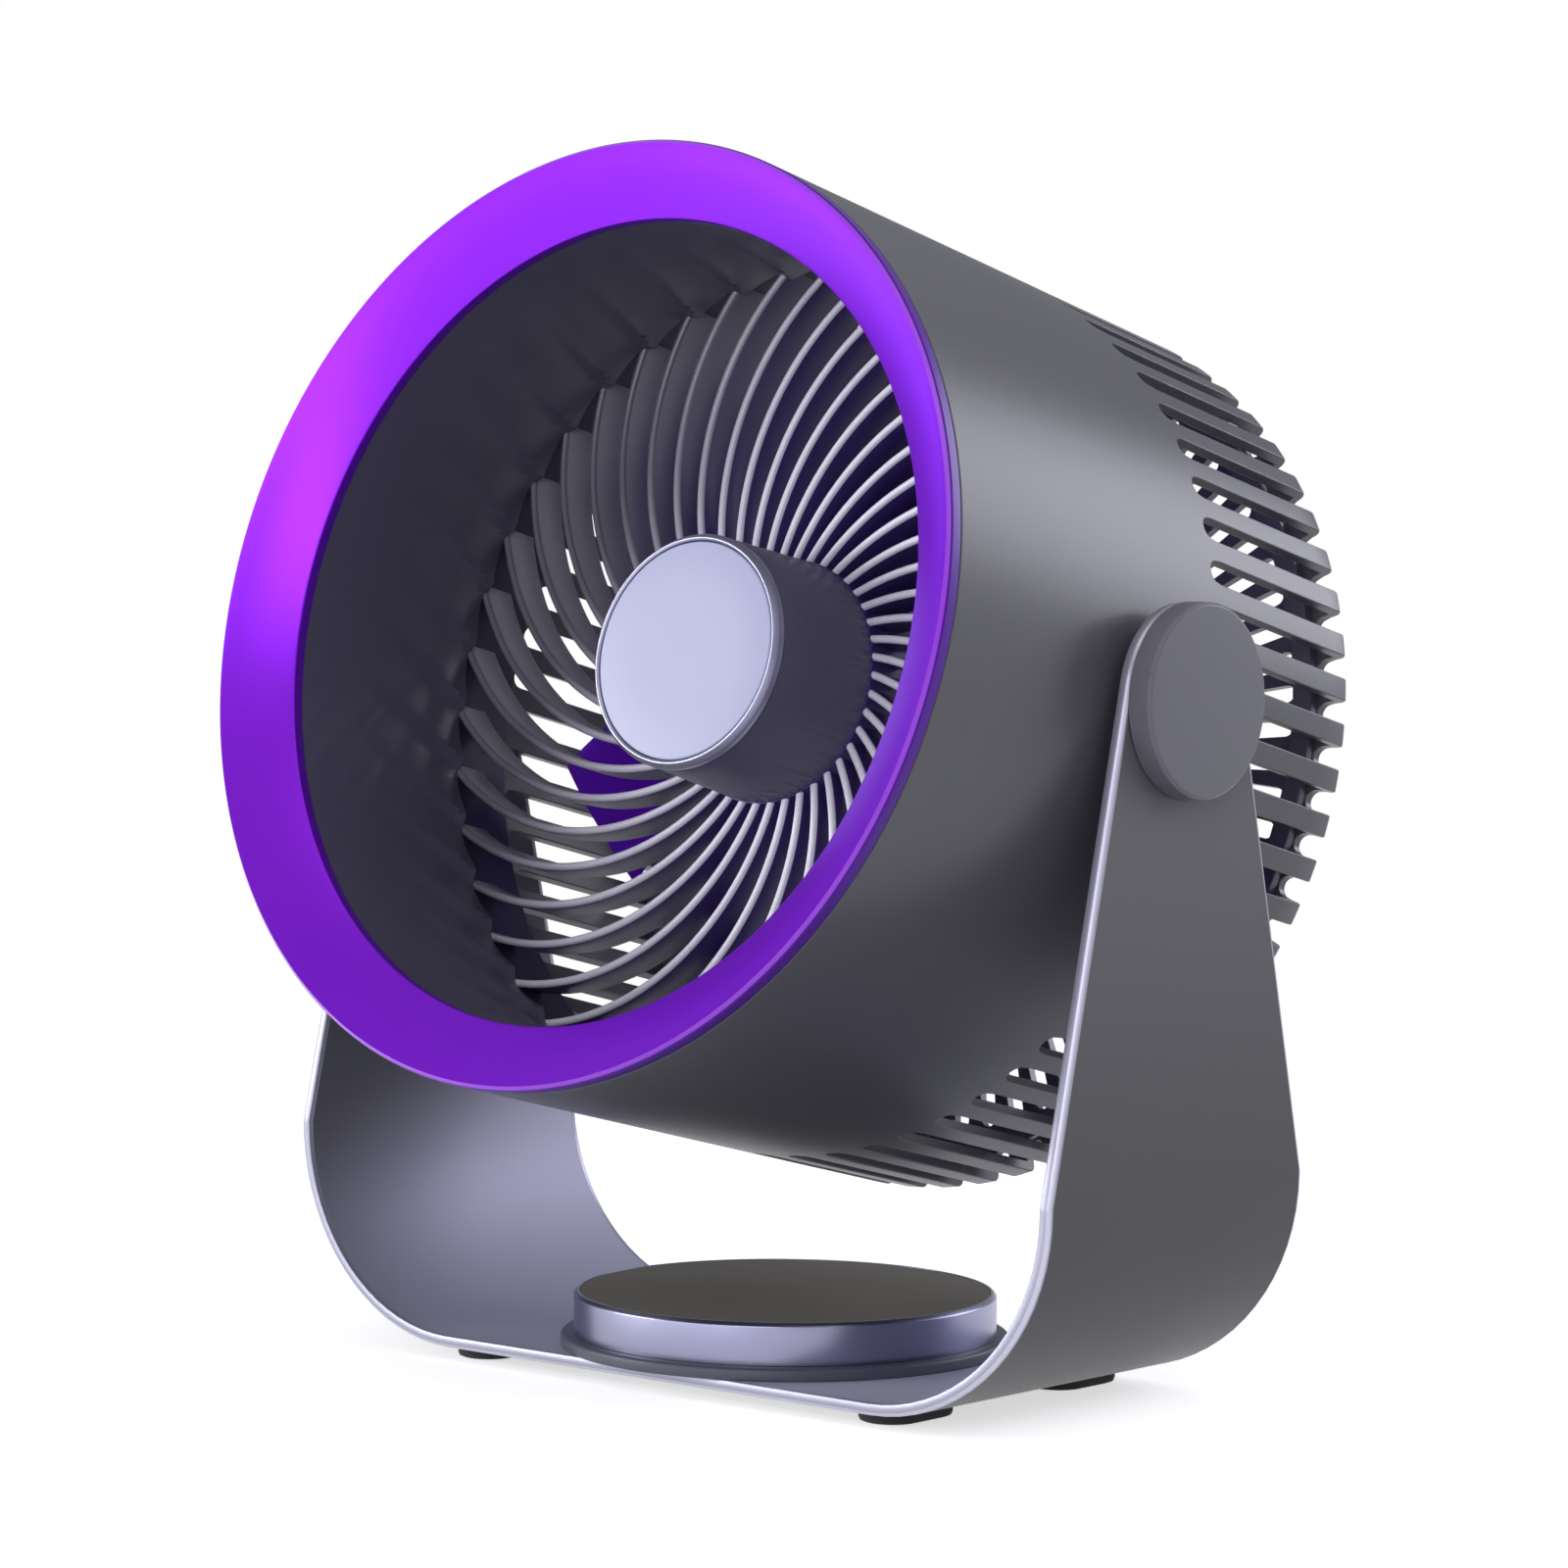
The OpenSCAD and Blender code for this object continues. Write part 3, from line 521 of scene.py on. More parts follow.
class Shop:
    """Makes each finish's material once."""

    def __init__(self) -> None:
        """Starts with no materials."""
        self.made: dict[str, bpy.types.Material] = {}

    @staticmethod
    def add(tree: bpy.types.NodeTree, kind: str, inputs: Optional[dict] = None, **settings) -> bpy.types.Node:
        """Adds a node, sets its options and fills its inputs.

        Args:
            tree: the material's node tree.
            kind: Blender's type name of the node.
            inputs: values, or output sockets to link, by input name or number.
            settings: options of the node.

        Returns:
            The node.
        """
        node = tree.nodes.new(kind)
        for key, value in settings.items():
            setattr(node, key, value)
        for key, value in (inputs or {}).items():
            if isinstance(value, bpy.types.NodeSocket):
                tree.links.new(value, node.inputs[key])
            else:
                node.inputs[key].default_value = value
        return node

    def get(self, finish: Finish) -> bpy.types.Material:
        """Gives the material of a finish.

        Args:
            finish: the finish.

        Returns:
            The material, made at its first use.
        """
        if finish.name not in self.made:
            self.made[finish.name] = self._make(finish)
        return self.made[finish.name]

    def _make(self, finish: Finish) -> bpy.types.Material:
        """Builds the nodes of a finish.

        Args:
            finish: the finish.

        Returns:
            The new material.
        """
        material = bpy.data.materials.new(finish.name)
        material.use_nodes = True
        tree = material.node_tree
        tree.nodes.clear()
        place = self.add(tree, "ShaderNodeTexCoord").outputs["Object"]
        patch = self.add(
            tree,
            "ShaderNodeTexNoise",
            {"Vector": place, "Scale": 1 / (PATCH_MM * MM), "Detail": 3.0, "Roughness": 0.5},
        )
        grain_place = place
        if finish.brushed:
            grain_place = self.add(
                tree, "ShaderNodeMapping", {"Vector": place, "Scale": finish.brushed}
            ).outputs["Vector"]
        share = BRUSH_SHARE if finish.brushed else 1.0
        grain = self.add(
            tree,
            "ShaderNodeTexNoise",
            {"Vector": grain_place, "Scale": share / (finish.grain_mm * MM), "Detail": 2.0, "Roughness": 0.6},
        )
        colour = self.add(
            tree,
            "ShaderNodeMix",
            {0: patch.outputs["Fac"], 6: linear(finish.colour), 7: linear(finish.second)},
            data_type="RGBA",
        )
        if finish.blend:
            colour = self.across(tree, place, colour.outputs[2], finish.blend)
        rough = self.add(
            tree,
            "ShaderNodeMapRange",
            {
                "Value": grain.outputs["Fac"],
                "To Min": finish.roughness - ROUGH_SWING,
                "To Max": finish.roughness + ROUGH_SWING,
            },
        )
        bump = self.add(
            tree,
            "ShaderNodeBump",
            {"Height": grain.outputs["Fac"], "Distance": finish.bump_mm * MM, "Strength": 1.0},
        )
        shader = self.add(
            tree,
            "ShaderNodeBsdfPrincipled",
            {
                "Base Color": colour.outputs[2],
                "Roughness": rough.outputs["Result"],
                "Normal": bump.outputs["Normal"],
                "Metallic": finish.metallic,
                "Transmission Weight": finish.transmission,
                "Specular IOR Level": finish.shine,
            },
        )
        self.add(tree, "ShaderNodeOutputMaterial", {"Surface": shader.outputs["BSDF"]})
        return material

    def across(
        self, tree: bpy.types.NodeTree, place: bpy.types.NodeSocket, near: bpy.types.NodeSocket, blend: Blend
    ) -> bpy.types.Node:
        """Passes a colour into a second one along a direction, which paints light and shade.

        Args:
            tree: the material's node tree.
            place: places on the fan in metres.
            near: the first colour.
            blend: the second one and where it starts and ends.

        Returns:
            The node whose output 2 is the colour.
        """
        way = self.add(tree, "ShaderNodeVectorMath", {0: place, 1: blend.way}, operation="DOT_PRODUCT")
        share = self.add(
            tree,
            "ShaderNodeMapRange",
            {"Value": way.outputs["Value"], "From Min": blend.start_mm * MM, "From Max": blend.end_mm * MM},
            interpolation_type="SMOOTHSTEP",
        )
        colours = {0: share.outputs["Result"], 6: near, 7: linear(blend.colour)}
        return self.add(tree, "ShaderNodeMix", colours, data_type="RGBA")


# Pieces


# Sizes that several pieces share, in millimetres: walls at the back, the rear opening and the vanes' hub.
PANEL = 2.4
OPENING_R = 86.0
HUB_R = 25.8
VANE_COUNT = 42
# Points nearer than this, in metres, are one.
WELD_M = 1e-6


class Body(Enum):
    """Bodies of the fan that pieces ride on."""

    STAND = "stand"
    HEAD = "head"
    ROTOR = "rotor"
    BUTTON = "button"


class Side(Enum):
    """The fan's two sides, each with its sign along x."""

    LEFT = -1
    RIGHT = 1

    def of(self, name: str) -> str:
        """Gives the name of this side's piece of a pair."""
        return f"{name}_{self.name.lower()}"

    def out(self, frame: Matrix) -> Matrix:
        """Turns a frame so that its z points out of this side."""
        return frame @ Matrix.Rotation(math.radians(90) * self.value, 4, "Y")


@dataclass(frozen=True)
class Span:
    """What a node takes up around an axis, in millimetres."""

    r_in: float
    r_out: float
    low: float
    high: float


def clean(mesh: bpy.types.Mesh) -> None:
    """Welds a new mesh and turns its faces outwards.

    Args:
        mesh: the mesh.
    """
    work = bmesh.new()
    work.from_mesh(mesh)
    bmesh.ops.remove_doubles(work, verts=work.verts, dist=WELD_M)
    bmesh.ops.dissolve_degenerate(work, dist=WELD_M / 10, edges=work.edges)
    bmesh.ops.recalc_face_normals(work, faces=work.faces)
    work.to_mesh(mesh)
    work.free()


class Bench:
    """Knows the frame and turns shapes into pieces that ride on it."""

    def __init__(self, frame: dict) -> None:
        """Reads the head's place from the joints.
        """
        joints = {j["name"]: j for j in frame["joints"]}
        self.nodes = frame["nodes"]
        self.shop = Shop()
        self.done: list[tuple[str, str]] = []
        self.pivot = np.array(joints["head_tilt"]["pos_m"], float) / MM
        self.upright = Matrix.Translation(Vector(self.pivot * MM))
        axis = Vector(joints["impeller_spin"]["axis"]).normalized()
        side = Vector((1, 0, 0))
        self.head = self.upright @ Matrix((side, axis.cross(side), axis)).transposed().to_4x4()

    def corners(self, node: str) -> Array:
        """Gives a node's vertices.

        Args:
            node: the CAD node's name.

        Returns:
            Array of points in millimetres, in the row frame.
        """
        mesh = self.nodes[node].data
        flat = np.zeros(len(mesh.vertices) * 3, np.float32)
        mesh.vertices.foreach_get("co", flat)
        return flat.reshape(-1, 3).astype(float) / MM

    def span(self, node: str) -> Span:
        """Measures a node around the fan's axis.

        Args:
            node: the CAD node's name.

        Returns:
            Radii and places along the axis, ahead of the pivot.
        """
        matrix = np.array(self.head.inverted())
        local = self.corners(node) @ matrix[:3, :3].T + matrix[:3, 3] / MM
        radius = np.hypot(local[:, 0], local[:, 1])
        return Span(radius.min(), radius.max(), local[:, 2].min(), local[:, 2].max())

    def box(self, node: str) -> tuple[Array, Array]:
        """Measures a node along the row frame.

        Args:
            node: the CAD node's name.

        Returns:
            Lowest and highest corner in millimetres.
        """
        points = self.corners(node)
        return points.min(0), points.max(0)

    def piece(
        self,
        name: str,
        shape: Shape,
        finishes: Finish | Sequence[Finish],
        body: Body,
        slot: str,
        node: str = "",
        matrix: Optional[Matrix] = None,
        bevel_mm: float = 0.0,
        crease: float = 32.0,
    ) -> bpy.types.Object:
        """Makes a shape into a piece of the fan.

        Args:
            name: the piece's name.
            shape: its form.
            finishes: its finish, or the finishes that the shape's numbers mean.
            body: the body that it rides on.
            slot: the record's material slot; not used.
            node: the CAD node that it stands for, if any.
            matrix: where the shape's own frame lies.
            bevel_mm: width of the round on sharp edges, 0 for none.
            crease: angle in degrees above which an edge is sharp.

        Returns:
            The object.
        """
        mesh = shape.mesh(name)
        for finish in [finishes] if isinstance(finishes, Finish) else finishes:
            mesh.materials.append(self.shop.get(finish))
        mesh.polygons.foreach_set("material_index", shape.finishes)
        clean(mesh)
        if matrix:
            mesh.transform(matrix)
        piece = bpy.data.objects.new(name, mesh)
        bpy.context.scene.collection.objects.link(piece)
        mesh.shade_smooth()
        mesh.set_sharp_from_angle(angle=math.radians(crease))
        if bevel_mm:
            self.soften(piece, bevel_mm)
        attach(piece, body.value)
        if node:
            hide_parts(node)
        self.done.append((name, body.value))
        return piece

    @staticmethod
    def soften(piece: bpy.types.Object, width_mm: float, steep: float = 38.0) -> None:
        """Rounds a piece's sharp edges.

        Args:
            piece: the object.
            width_mm: width of the round.
            steep: angle in degrees above which an edge is rounded.
        """
        bevel = piece.modifiers.new("edge round", "BEVEL")
        bevel.width = width_mm * MM
        bevel.segments = 2
        bevel.limit_method = "ANGLE"
        bevel.angle_limit = math.radians(steep)
        bevel.harden_normals = True

    @staticmethod
    def pierce(piece: bpy.types.Object, cutter: Shape, matrix: Matrix) -> None:
        """Cuts a hole into a piece that has no modifiers.

        Args:
            piece: the object.
            cutter: closed form of the hole.
            matrix: where the cutter's own frame lies.
        """
        mesh = cutter.mesh("cutter")
        clean(mesh)
        tool = bpy.data.objects.new("cutter", mesh)
        bpy.context.scene.collection.objects.link(tool)
        tool.matrix_world = matrix
        cut = piece.modifiers.new("cut", "BOOLEAN")
        cut.object = tool
        cut.solver = "EXACT"
        bpy.context.view_layer.update()
        graph = bpy.context.evaluated_depsgraph_get()
        fresh = bpy.data.meshes.new_from_object(piece.evaluated_get(graph))
        piece.modifiers.remove(cut)
        piece.data = fresh
        bpy.data.objects.remove(tool)

    def dress(self, node: str, finish: Finish, bevel_mm: float) -> None:
        """Gives a CAD node that stays its finish and round edges.

        Args:
            node: the CAD node's name.
            finish: its finish.
            bevel_mm: width of the round on sharp edges.
        """
        piece = self.nodes[node]
        piece.data.materials.clear()
        piece.data.materials.append(self.shop.get(finish))
        weld = piece.modifiers.new("weld", "WELD")
        weld.merge_threshold = WELD_M
        self.soften(piece, bevel_mm)
        self.done.append((node, "its own body"))


@dataclass(frozen=True)
class VaneArc:
    """The arc that every vane follows from the hub outwards, in millimetres and degrees."""

    bend: float = 60.5
    lean: float = 18.7
    end_r: float = 91.0
    turn: float = 4.6

    def angle(self, radius: float) -> float:
        """Gives where the arc is at a radius.

        Args:
            radius: distance from the fan's axis.

        Returns:
            The angle in degrees around the axis, 0 at the hub.
        """
        lean = math.radians(self.lean)
        centre = np.array([HUB_R - self.bend * math.sin(lean), -self.bend * math.cos(lean)])
        far = float(np.linalg.norm(centre))
        at_point = math.acos((far**2 + radius**2 - self.bend**2) / (2 * far * radius))
        return math.degrees(math.atan2(centre[1], centre[0]) + at_point)


@dataclass
class Drum:
    """The drum with its slots, the violet front ring and the dark duct, in millimetres and degrees."""

    bench: Bench
    arc: VaneArc = VaneArc()
    wall: float = 2.2
    edge_round: float = 1.6
    slot_count: int = 63
    slot_turn: float = 0.9
    slot_width: float = 4.8
    slot_lead: float = 15.5
    slot_reach_in: float = 6.0
    boss_bore: float = 4.2
    boss_r: float = 11.0
    boss_height: float = 1.2
    ring_face: float = 13.2
    ring_recess: float = 8.5
    ring_wall: float = 1.8
    ring_spigot: float = 6.0
    ring_crown: float = 0.35
    ring_steps: int = 288
    lip: float = 1.5
    duct_rear_r: float = 89.0
    duct_wall: float = 1.8
    ridge: float = 2.2
    ridge_end: float = 42.0
    ridge_lean: float = -9.0

    def make(self) -> None:
        """Makes every piece of the drum."""
        self.skin()
        self.bosses()
        self.ring()
        self.duct()

    def radius(self) -> float:
        """Gives the drum's outer radius, which is the ring's."""
        return self.bench.span("front_ring").r_out

    def slot_columns(self) -> tuple[Array, Array, list[bool]]:
        """Spreads columns around the drum so that they follow the slots' round ends.

        Returns:
            Each column's angle in radians, how far a slot's end drops there, and for the columns of one
            slot and its rib whether the sheet is open after them.
        """
        r_out, half = self.radius(), self.slot_width / 2
        spots = half * np.sin(np.radians(np.linspace(-90, 90, 11)))
        ribs = np.linspace(0, 1, 4)[1:-1]
        pitch = 2 * math.pi / self.slot_count
        edge = math.asin(half / r_out)
        across = [math.asin(s / r_out) for s in spots] + [edge + (pitch - 2 * edge) * t for t in ribs]
        drop = [math.sqrt(max(0.0, half**2 - s**2)) for s in spots] + [0.0] * len(ribs)
        is_open = [True] * (len(spots) - 1) + [False] * (len(ribs) + 1)
        starts = math.radians(self.slot_turn) + pitch * np.arange(self.slot_count)
        return (starts[:, None] + np.array(across)).ravel(), np.tile(drop, self.slot_count), is_open

    def skin(self) -> None:
        """Makes the drum: a rolled sheet with round-ended slots that run over its rear edge."""
        size = self.bench.span("drum_shell")
        r_out, half = self.radius(), self.slot_width / 2
        in_r, in_rear = r_out - self.wall, size.low + PANEL
        angles, drop, is_open = self.slot_columns()
        notch = r_out - self.slot_reach_in + half
        tip = -self.slot_lead - half + drop
        # Outer radius and place, inner radius and place. Rows between the ends only keep faces short.
        rows = [(r_out, a, in_r, a) for a in (size.high, size.high - 12, 30, 10, -6)]
        first_open = len(rows)
        rows.append((r_out, tip, in_r, tip))
        rows += [(r_out, a, in_r, a) for a in (-30, -45, -56)]
        inner_edge = ((in_r, 1.4), (in_r, 0.7), (in_r, 0.3), (in_r - 0.05, 0.0))
        for t, (r_inner, ahead) in zip(np.radians((0, 30, 60, 90)), inner_edge):
            r = r_out - self.edge_round * (1 - math.cos(t))
            a = size.low + self.edge_round * (1 - math.sin(t))
            rows.append((r, a, r_inner, in_rear + ahead))
        last_open = len(rows)
        rows.append((notch - drop, size.low, notch - drop, in_rear))
        between = (notch - half + OPENING_R) / 2 - 0.3
        rows += [(r, size.low, r, in_rear) for r in (between, OPENING_R)]
        outer = np.stack([polar(r, angles, a) for r, a, _, _ in rows])
        inner = np.stack([polar(r, angles, a) for _, _, r, a in rows])
        solid = np.ones((len(rows) - 1, len(angles)), bool)
        solid[first_open:last_open] = ~np.tile(is_open, self.slot_count)
        shape = Shape().plate(outer, inner, solid)
        self.bench.piece(
            "drum_skin", shape, SHELL, Body.HEAD, "shell_grey", "drum_shell", self.bench.head, bevel_mm=0.35
        )

    def bosses(self) -> None:
        """Makes the low round bosses at the pivots."""
        base, top = self.radius() - 1.5, self.radius() + self.boss_height
        corners = [(self.boss_bore, base - 2.5), (self.boss_r, base)]
        corners += [(self.boss_r, top), (self.boss_bore, top)]
        shape = Shape().lathe(rounded(corners, [0, 0, 0.5, 0.3], True), 64)
        for side in Side:
            where = side.out(self.bench.head)
            self.bench.piece(side.of("drum_boss"), shape, SHELL, Body.HEAD, "shell_grey", matrix=where)

    def ring(self) -> None:
        """Makes the front ring: a slightly crowned cone with a bevelled outer edge and a short inner lip."""
        size = self.bench.span("front_ring")
        out_r, front, seam = size.r_out, size.high, self.bench.span("drum_shell").high
        edge_r = out_r - 0.8
        in_r = edge_r - self.ring_face
        face = np.array([self.ring_face, self.ring_recess])
        lift = np.array([-face[1], face[0]]) / np.linalg.norm(face) * self.ring_crown
        cone = []
        for share in np.linspace(0.08, 0.94, 9):
            spot = np.array([in_r, front - self.ring_recess]) + face * share
            cone.append(tuple(spot + lift * 4 * share * (1 - share)))
        lip, end = size.low + self.lip, seam - self.ring_spigot
        far, near = out_r - 2.25, out_r - 4.05
        low = [(far, seam + 0.15), (far, end), (near, end), (near, seam - 0.85)]
        low += [(in_r + self.ring_wall, lip + 1.3), (in_r + self.ring_wall, lip), (in_r, lip)]
        edge = [(edge_r - 0.1, front), (out_r - 0.25, front - 0.62), (out_r, front - 1.0)]
        edge.append((out_r, seam + 0.15))
        corners = [(in_r, front - self.ring_recess)] + cone + edge + low
        radii = [0.5] + [0] * len(cone) + [0, 0, 0, 0.25, 0, 0.3, 0.3, 0, 0, 0, 0.3]
        profile = rounded(corners, radii, True, 5)
        tones = []
        for r, a in (np.array(profile) + np.roll(profile, -1, 0)) / 2:
            # Bevel faces take the lighter violet: a painted highlight.
            bevel = r > edge_r - 0.1 and a > front - 0.66
            # The flanks and the inner lip's wall take the deeper violet: painted shade.
            flank = r > out_r - 0.5 and not bevel
            lip_wall = r < in_r + 0.1 and a < front - self.ring_recess - 0.3
            tones.append(1 if bevel else 2 if flank or lip_wall else 0)
        shape = Shape().lathe(profile, self.ring_steps, finish=np.repeat(tones, self.ring_steps).tolist())
        finishes = [RING, RING_EDGE, RING_SIDE]
        self.bench.piece(
            "ring_face", shape, finishes, Body.HEAD, "ring_violet", "front_ring", self.bench.head, crease=28
        )

    def duct(self) -> None:
        """Makes the duct with a low ridge that runs forward from each vane's outer end and fades."""
        size = self.bench.span("inner_duct")
        in_r, front, rear = size.r_in, size.high + self.lip, size.low
        angles = full_turn(VANE_COUNT * 10)
        tip = math.radians(self.arc.angle(self.arc.end_r) + self.arc.turn)
        rows = []
        for a in np.linspace(rear, front, 22):
            base = self.duct_rear_r + (in_r - self.duct_rear_r) * (a - rear) / (front - rear)
            share = (a - rear) / (self.ridge_end - rear)
            lean = math.radians(self.ridge_lean) * share
            off = ((angles - tip - lean) * VANE_COUNT / (2 * math.pi)) % 1.0
            crest = np.maximum(1 - off / 0.22, (off - 0.22) / 0.78) ** 1.5
            fade = max(0.0, 1 - share) ** 1.3
            rows.append(polar(base - self.ridge * fade * crest, angles, a))
        step = rear + PANEL
        back = [(in_r + self.duct_wall, front), (self.duct_rear_r + self.duct_wall, step)]
        back += [(size.r_out, step), (size.r_out, rear)]
        rows += [polar(r, angles, a) for r, a in back]
        shape = Shape().grid(np.stack(rows), True, True)
        self.bench.piece(
            "duct_wall", shape, DUCT, Body.HEAD, "duct_dark", "inner_duct", self.bench.head, crease=22
        )


@dataclass
class VaneWheel:
    """The fixed vanes with their rings, and the hub cone with its rim and disc, in millimetres."""

    bench: Bench
    arc: VaneArc = VaneArc()
    thick: float = 1.65
    depth: float = 9.0
    ring_in: float = 89.6
    hub_wall: float = 2.0
    rib_depth: float = 0.55
    rib_end_share: float = 0.42
    nose_bore: float = 22.0

    def make(self) -> None:
        """Makes every piece of the wheel."""
        self.vanes()
        self.cone()
        self.cap()

    def section(self, front: float) -> list[Point]:
        """Gives a vane's section, from its left rear corner over the round front edge to the right.

        Args:
            front: place of the front edge along the axis.

        Returns:
            Pairs of an offset across the vane and a place along the axis.
        """
        half, back = self.thick / 2, front - self.depth
        nose = half * 1.1
        left = [(half - 0.3, back), (half, back + 0.3), (half, front - nose)]
        turns = np.radians((25, 50, 75, 90, 105, 130, 155))
        over = [(half * math.cos(t), front - nose + nose * math.sin(t)) for t in turns]
        return left + over + [(-s, a) for s, a in reversed(left)]

    def vanes(self) -> None:
        """Makes the guide vanes with their two rings."""
        size = self.bench.span("guide_vanes")
        front, rear = size.high, size.low
        radii = np.linspace(HUB_R - 0.8, self.ring_in + 0.9, 30)
        angle = np.radians([self.arc.angle(r) for r in radii])
        line = np.stack([radii * np.cos(angle), radii * np.sin(angle)], -1)
        way = np.gradient(line, axis=0)
        way /= np.linalg.norm(way, axis=1)[:, None]
        side = np.stack([-way[:, 1], way[:, 0]], -1)
        section = self.section(front)
        net = np.stack([np.column_stack([line + side * s, np.full(len(line), a)]) for s, a in section])
        faces = grid_faces(len(section), len(radii), True, False)
        # Front-edge faces take the edge finish, whose blend paints light and shade.
        bright = [int(2 <= f // (len(radii) - 1) < len(section) - 3) for f in range(len(faces))]
        shape = Shape()
        for phi in np.radians(ring_angles(VANE_COUNT, self.arc.turn)):
            c, s = math.cos(phi), math.sin(phi)
            spin = np.array([[c, -s, 0], [s, c, 0], [0, 0, 1]])
            shape.add(net @ spin.T, faces, bright)
        outer = [(self.ring_in, front - 0.2), (self.ring_in + 0.5, front), (size.r_out, front)]
        shape.lathe(outer + [(size.r_out, rear), (self.ring_in, rear)], VANE_COUNT * 6, finish=2)
        bore, floor = HUB_R - self.hub_wall, rear + 1.6
        hub = [(0, rear), (HUB_R, rear), (HUB_R, front), (bore, front), (bore, floor), (0, floor)]
        shape.lathe(hub, 192, closed=False)
        finishes = [VANE, VANE_EDGE, VANE_RING]
        self.bench.piece(
            "vane_wheel", shape, finishes, Body.HEAD, "vane_grey", "guide_vanes", self.bench.head, crease=50
        )

    def cone(self) -> None:
        """Makes the hub cone, whose foot has two fine ribs for each vane."""
        cone, rim = self.bench.span("hub_nose"), self.bench.span("cap_rim")
        angles = full_turn(VANE_COUNT * 12)
        phase = (angles * 2 * VANE_COUNT / (2 * math.pi)) % 1.0
        crest = np.clip(1 - np.minimum(phase, 1 - phase) / 0.3, 0, 1)
        rows = []
        for share in (0, 0.1, 0.2, 0.32, 0.5, 0.75, 0.97):
            a = cone.low + (cone.high - cone.low) * share
            r = cone.r_out + (rim.r_out - cone.r_out) * share
            fade = max(0.0, 1 - share / self.rib_end_share)
            rows.append(polar(r - self.rib_depth * fade * (1 - crest), angles, a))
        front, seat, bore = cone.high, cone.high - 1.6, self.nose_bore
        top = ((rim.r_out - 0.25, front), (bore, front), (bore, seat), (0.01, seat))
        rows += [polar(r, angles, a) for r, a in top]
        shape = Shape().grid(np.stack(rows), False, True)
        self.bench.piece(
            "hub_cone", shape, NOSE, Body.HEAD, "duct_dark", "hub_nose", self.bench.head, crease=30
        )

    def cap(self) -> None:
        """Makes the cone's metal rim and the pale disc in it."""
        rim, disc = self.bench.span("cap_rim"), self.bench.span("cap_disc")
        top, low = rim.high, rim.low
        ring = [(rim.r_out, low + 0.1), (rim.r_out, top - 1.2), (rim.r_out - 0.9, top)]
        ring += [(rim.r_in + 0.35, top), (rim.r_in, top - 0.35), (rim.r_in, low)]
        shape = Shape().lathe(rounded(ring, [0.1, 0.5, 0.35, 0.15, 0.15, 0], True))
        self.bench.piece("rim_metal", shape, RIM, Body.HEAD, "cap_silver", "cap_rim", self.bench.head)
        face = [(0, disc.high), (disc.r_out * 0.6, disc.high), (disc.r_out, disc.high)]
        face += [(disc.r_out, disc.low), (0, disc.low)]
        shape = Shape().lathe(rounded(face, [0, 0, 0.35, 0, 0], False), closed=False)
        self.bench.piece("cap_face", shape, DISC, Body.HEAD, "cap_lavender", "cap_disc", self.bench.head)


@dataclass
class Impeller:
    """The spinning cup with its swept blades, in millimetres and degrees."""

    bench: Bench
    count: int = 5
    turn: float = 30.0
    lead: float = 22.0
    depth: float = 20.0
    cup_r: float = 24.0
    cup_lead: float = 19.0
    cup_wall: float = 2.0
    sweep: float = 17.0
    twist: float = 17.0

    def make(self) -> None:
        """Makes the impeller with round edges on its blades."""
        size = self.bench.span("impeller")
        tip = size.r_out
        radii = np.concatenate([np.linspace(self.cup_r - 0.8, tip - 1.2, 18), [tip - 0.5, tip - 0.12, tip]])
        thin = np.concatenate([np.ones(18), [0.85, 0.5, 0.12]])
        turns = full_turn(28)
        along = np.cos(turns)
        across = np.sign(np.sin(turns)) * (1 - np.abs(along) ** 5) ** 0.6
        a = -self.lead - self.depth / 2 + along * self.depth / 2
        shape = Shape()
        for start in ring_angles(self.count, self.turn):
            rows = []
            for r, t in zip(radii, thin):
                sweep = self.sweep * max(0.0, (r - self.cup_r) / (tip - self.cup_r)) ** 2
                middle = start + sweep + self.twist * (-self.lead - a) / self.depth
                rows.append(polar(r, np.radians(middle) + across * t / r, a))
            shape.grid(np.stack(rows), False, True)
            shape.add(rows[-1], [tuple(range(len(turns)))])
        front, bore = -self.cup_lead, self.cup_r - self.cup_wall
        cup = [(0, front), (self.cup_r, front), (self.cup_r, size.low), (bore, size.low)]
        cup += [(bore, front - self.cup_wall), (0, front - self.cup_wall)]
        shape.lathe(rounded(cup, [0, 1.2, 0.4, 0.4, 0, 0], False), 128, closed=False)
        self.bench.piece(
            "fan_wheel", shape, BLADE, Body.ROTOR, "blade_violet", "impeller", self.bench.head, crease=40
        )


